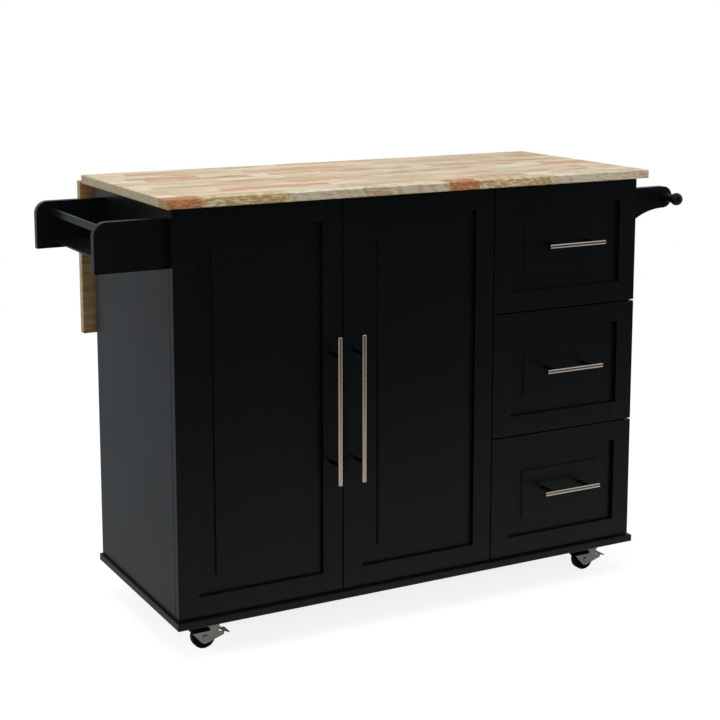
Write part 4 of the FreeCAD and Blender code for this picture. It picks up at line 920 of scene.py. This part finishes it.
def make_world():
    """White to the camera; in reflections bright at the sides and back and dark in front."""
    world = bpy.data.worlds.new("studio")
    bpy.context.scene.world = world
    world.use_nodes = True
    tree = world.node_tree
    tree.nodes.clear()
    heading = parts_of(tree, add(tree, "TexCoord").outputs["Generated"])
    beside = math_node(tree, "MINIMUM", spread(tree, heading[Y], *SURROUND_FRONT),
                       spread(tree, heading[Y], *SURROUND_BACK))
    mirrored = math_node(tree, "MAXIMUM", beside, spread(tree, heading[Z], *SURROUND_ABOVE))
    rays = add(tree, "LightPath").outputs
    level = add(tree, "Mix", {0: rays["Is Diffuse Ray"], 2: mirrored, 3: SURROUND_DIFFUSE}).outputs[0]
    seen = add(tree, "Mix", {0: rays["Is Camera Ray"], 2: level, 3: 1.0}).outputs[0]
    tint = blend(tree, rays["Is Glossy Ray"], solid(WHITE), solid(SURROUND_TINT))
    background = add(tree, "Background", {"Color": tint, "Strength": seen})
    add(tree, "OutputWorld", {"Surface": background.outputs[0]})


def floor_as_seen(tree, spot, rays):
    """Pale near the cart, fading to white away from it."""
    away = add(tree, "VectorMath", {0: spot}, operation="LENGTH").outputs["Value"]
    fade = spread(tree, away, *FLOOR_FADE, interpolation_type="SMOOTHSTEP")
    lit = add(tree, "BsdfDiffuse", {"Color": solid(FLOOR_COLOUR)})
    glow_level = product(tree, rays["Is Camera Ray"], FLOOR_GLOW)
    glow = add(tree, "Emission", {"Color": solid(WHITE), "Strength": glow_level})
    near = add(tree, "AddShader", {0: lit.outputs[0], 1: glow.outputs[0]})
    white = add(tree, "Emission", {"Color": solid(WHITE), "Strength": 1.0})
    share = product(tree, fade, rays["Is Camera Ray"])
    return add(tree, "MixShader", {0: share, 1: near.outputs[0], 2: white.outputs[0]}).outputs[0]


def floor_in_reflections(tree, parts):
    """Bright close to the fronts, dark further in front, even elsewhere, and cooler at the left side."""
    front = math_node(tree, "MAXIMUM", spread(tree, parts[Y], *FLOOR_FAR_FRONT),
                      spread(tree, parts[Y], *FLOOR_NEAR_FRONT))
    level = math_node(tree, "MINIMUM", front, spread(tree, parts[Y], *FLOOR_BACK))
    tint = blend(tree, spread(tree, parts[X], *FLOOR_LEFT), solid(FLOOR_TINT), solid(FLOOR_LEFT_TINT))
    return add(tree, "Emission", {"Color": tint, "Strength": level}).outputs[0]


def make_floor():
    """A pale floor that keeps the cart's shadow."""
    mesh = bpy.data.meshes.new("floor")
    corners = [(-FLOOR_HALF, -FLOOR_HALF, 0), (FLOOR_HALF, -FLOOR_HALF, 0),
               (FLOOR_HALF, FLOOR_HALF, 0), (-FLOOR_HALF, FLOOR_HALF, 0)]
    mesh.from_pydata(corners, [], [tuple(range(len(corners)))])
    floor = bpy.data.objects.new("floor", mesh)
    bpy.context.scene.collection.objects.link(floor)
    made, tree = new_material("floor")
    spot = add(tree, "TexCoord").outputs["Object"]
    rays = add(tree, "LightPath").outputs
    seen = floor_as_seen(tree, spot, rays)
    mirrored = floor_in_reflections(tree, parts_of(tree, spot))
    whole = add(tree, "MixShader", {0: rays["Is Glossy Ray"], 1: seen, 2: mirrored})
    add(tree, "OutputMaterial", {"Surface": whole.outputs[0]})
    mesh.materials.append(made)


finishes = {name: make(name, *values) for make, name, *values in finish_list()}
dress_nodes(finishes)
butt_hinge_screws(finishes["zinc"])
support_screws(finishes["zinc"])
caster_screws(finishes["zinc"])
door_screws(finishes["zinc"])
drawer_screws(finishes["zinc"])
make_floor()
make_world()
make_lamps()
make_camera()
bpy.context.scene.view_settings.view_transform = "Standard"
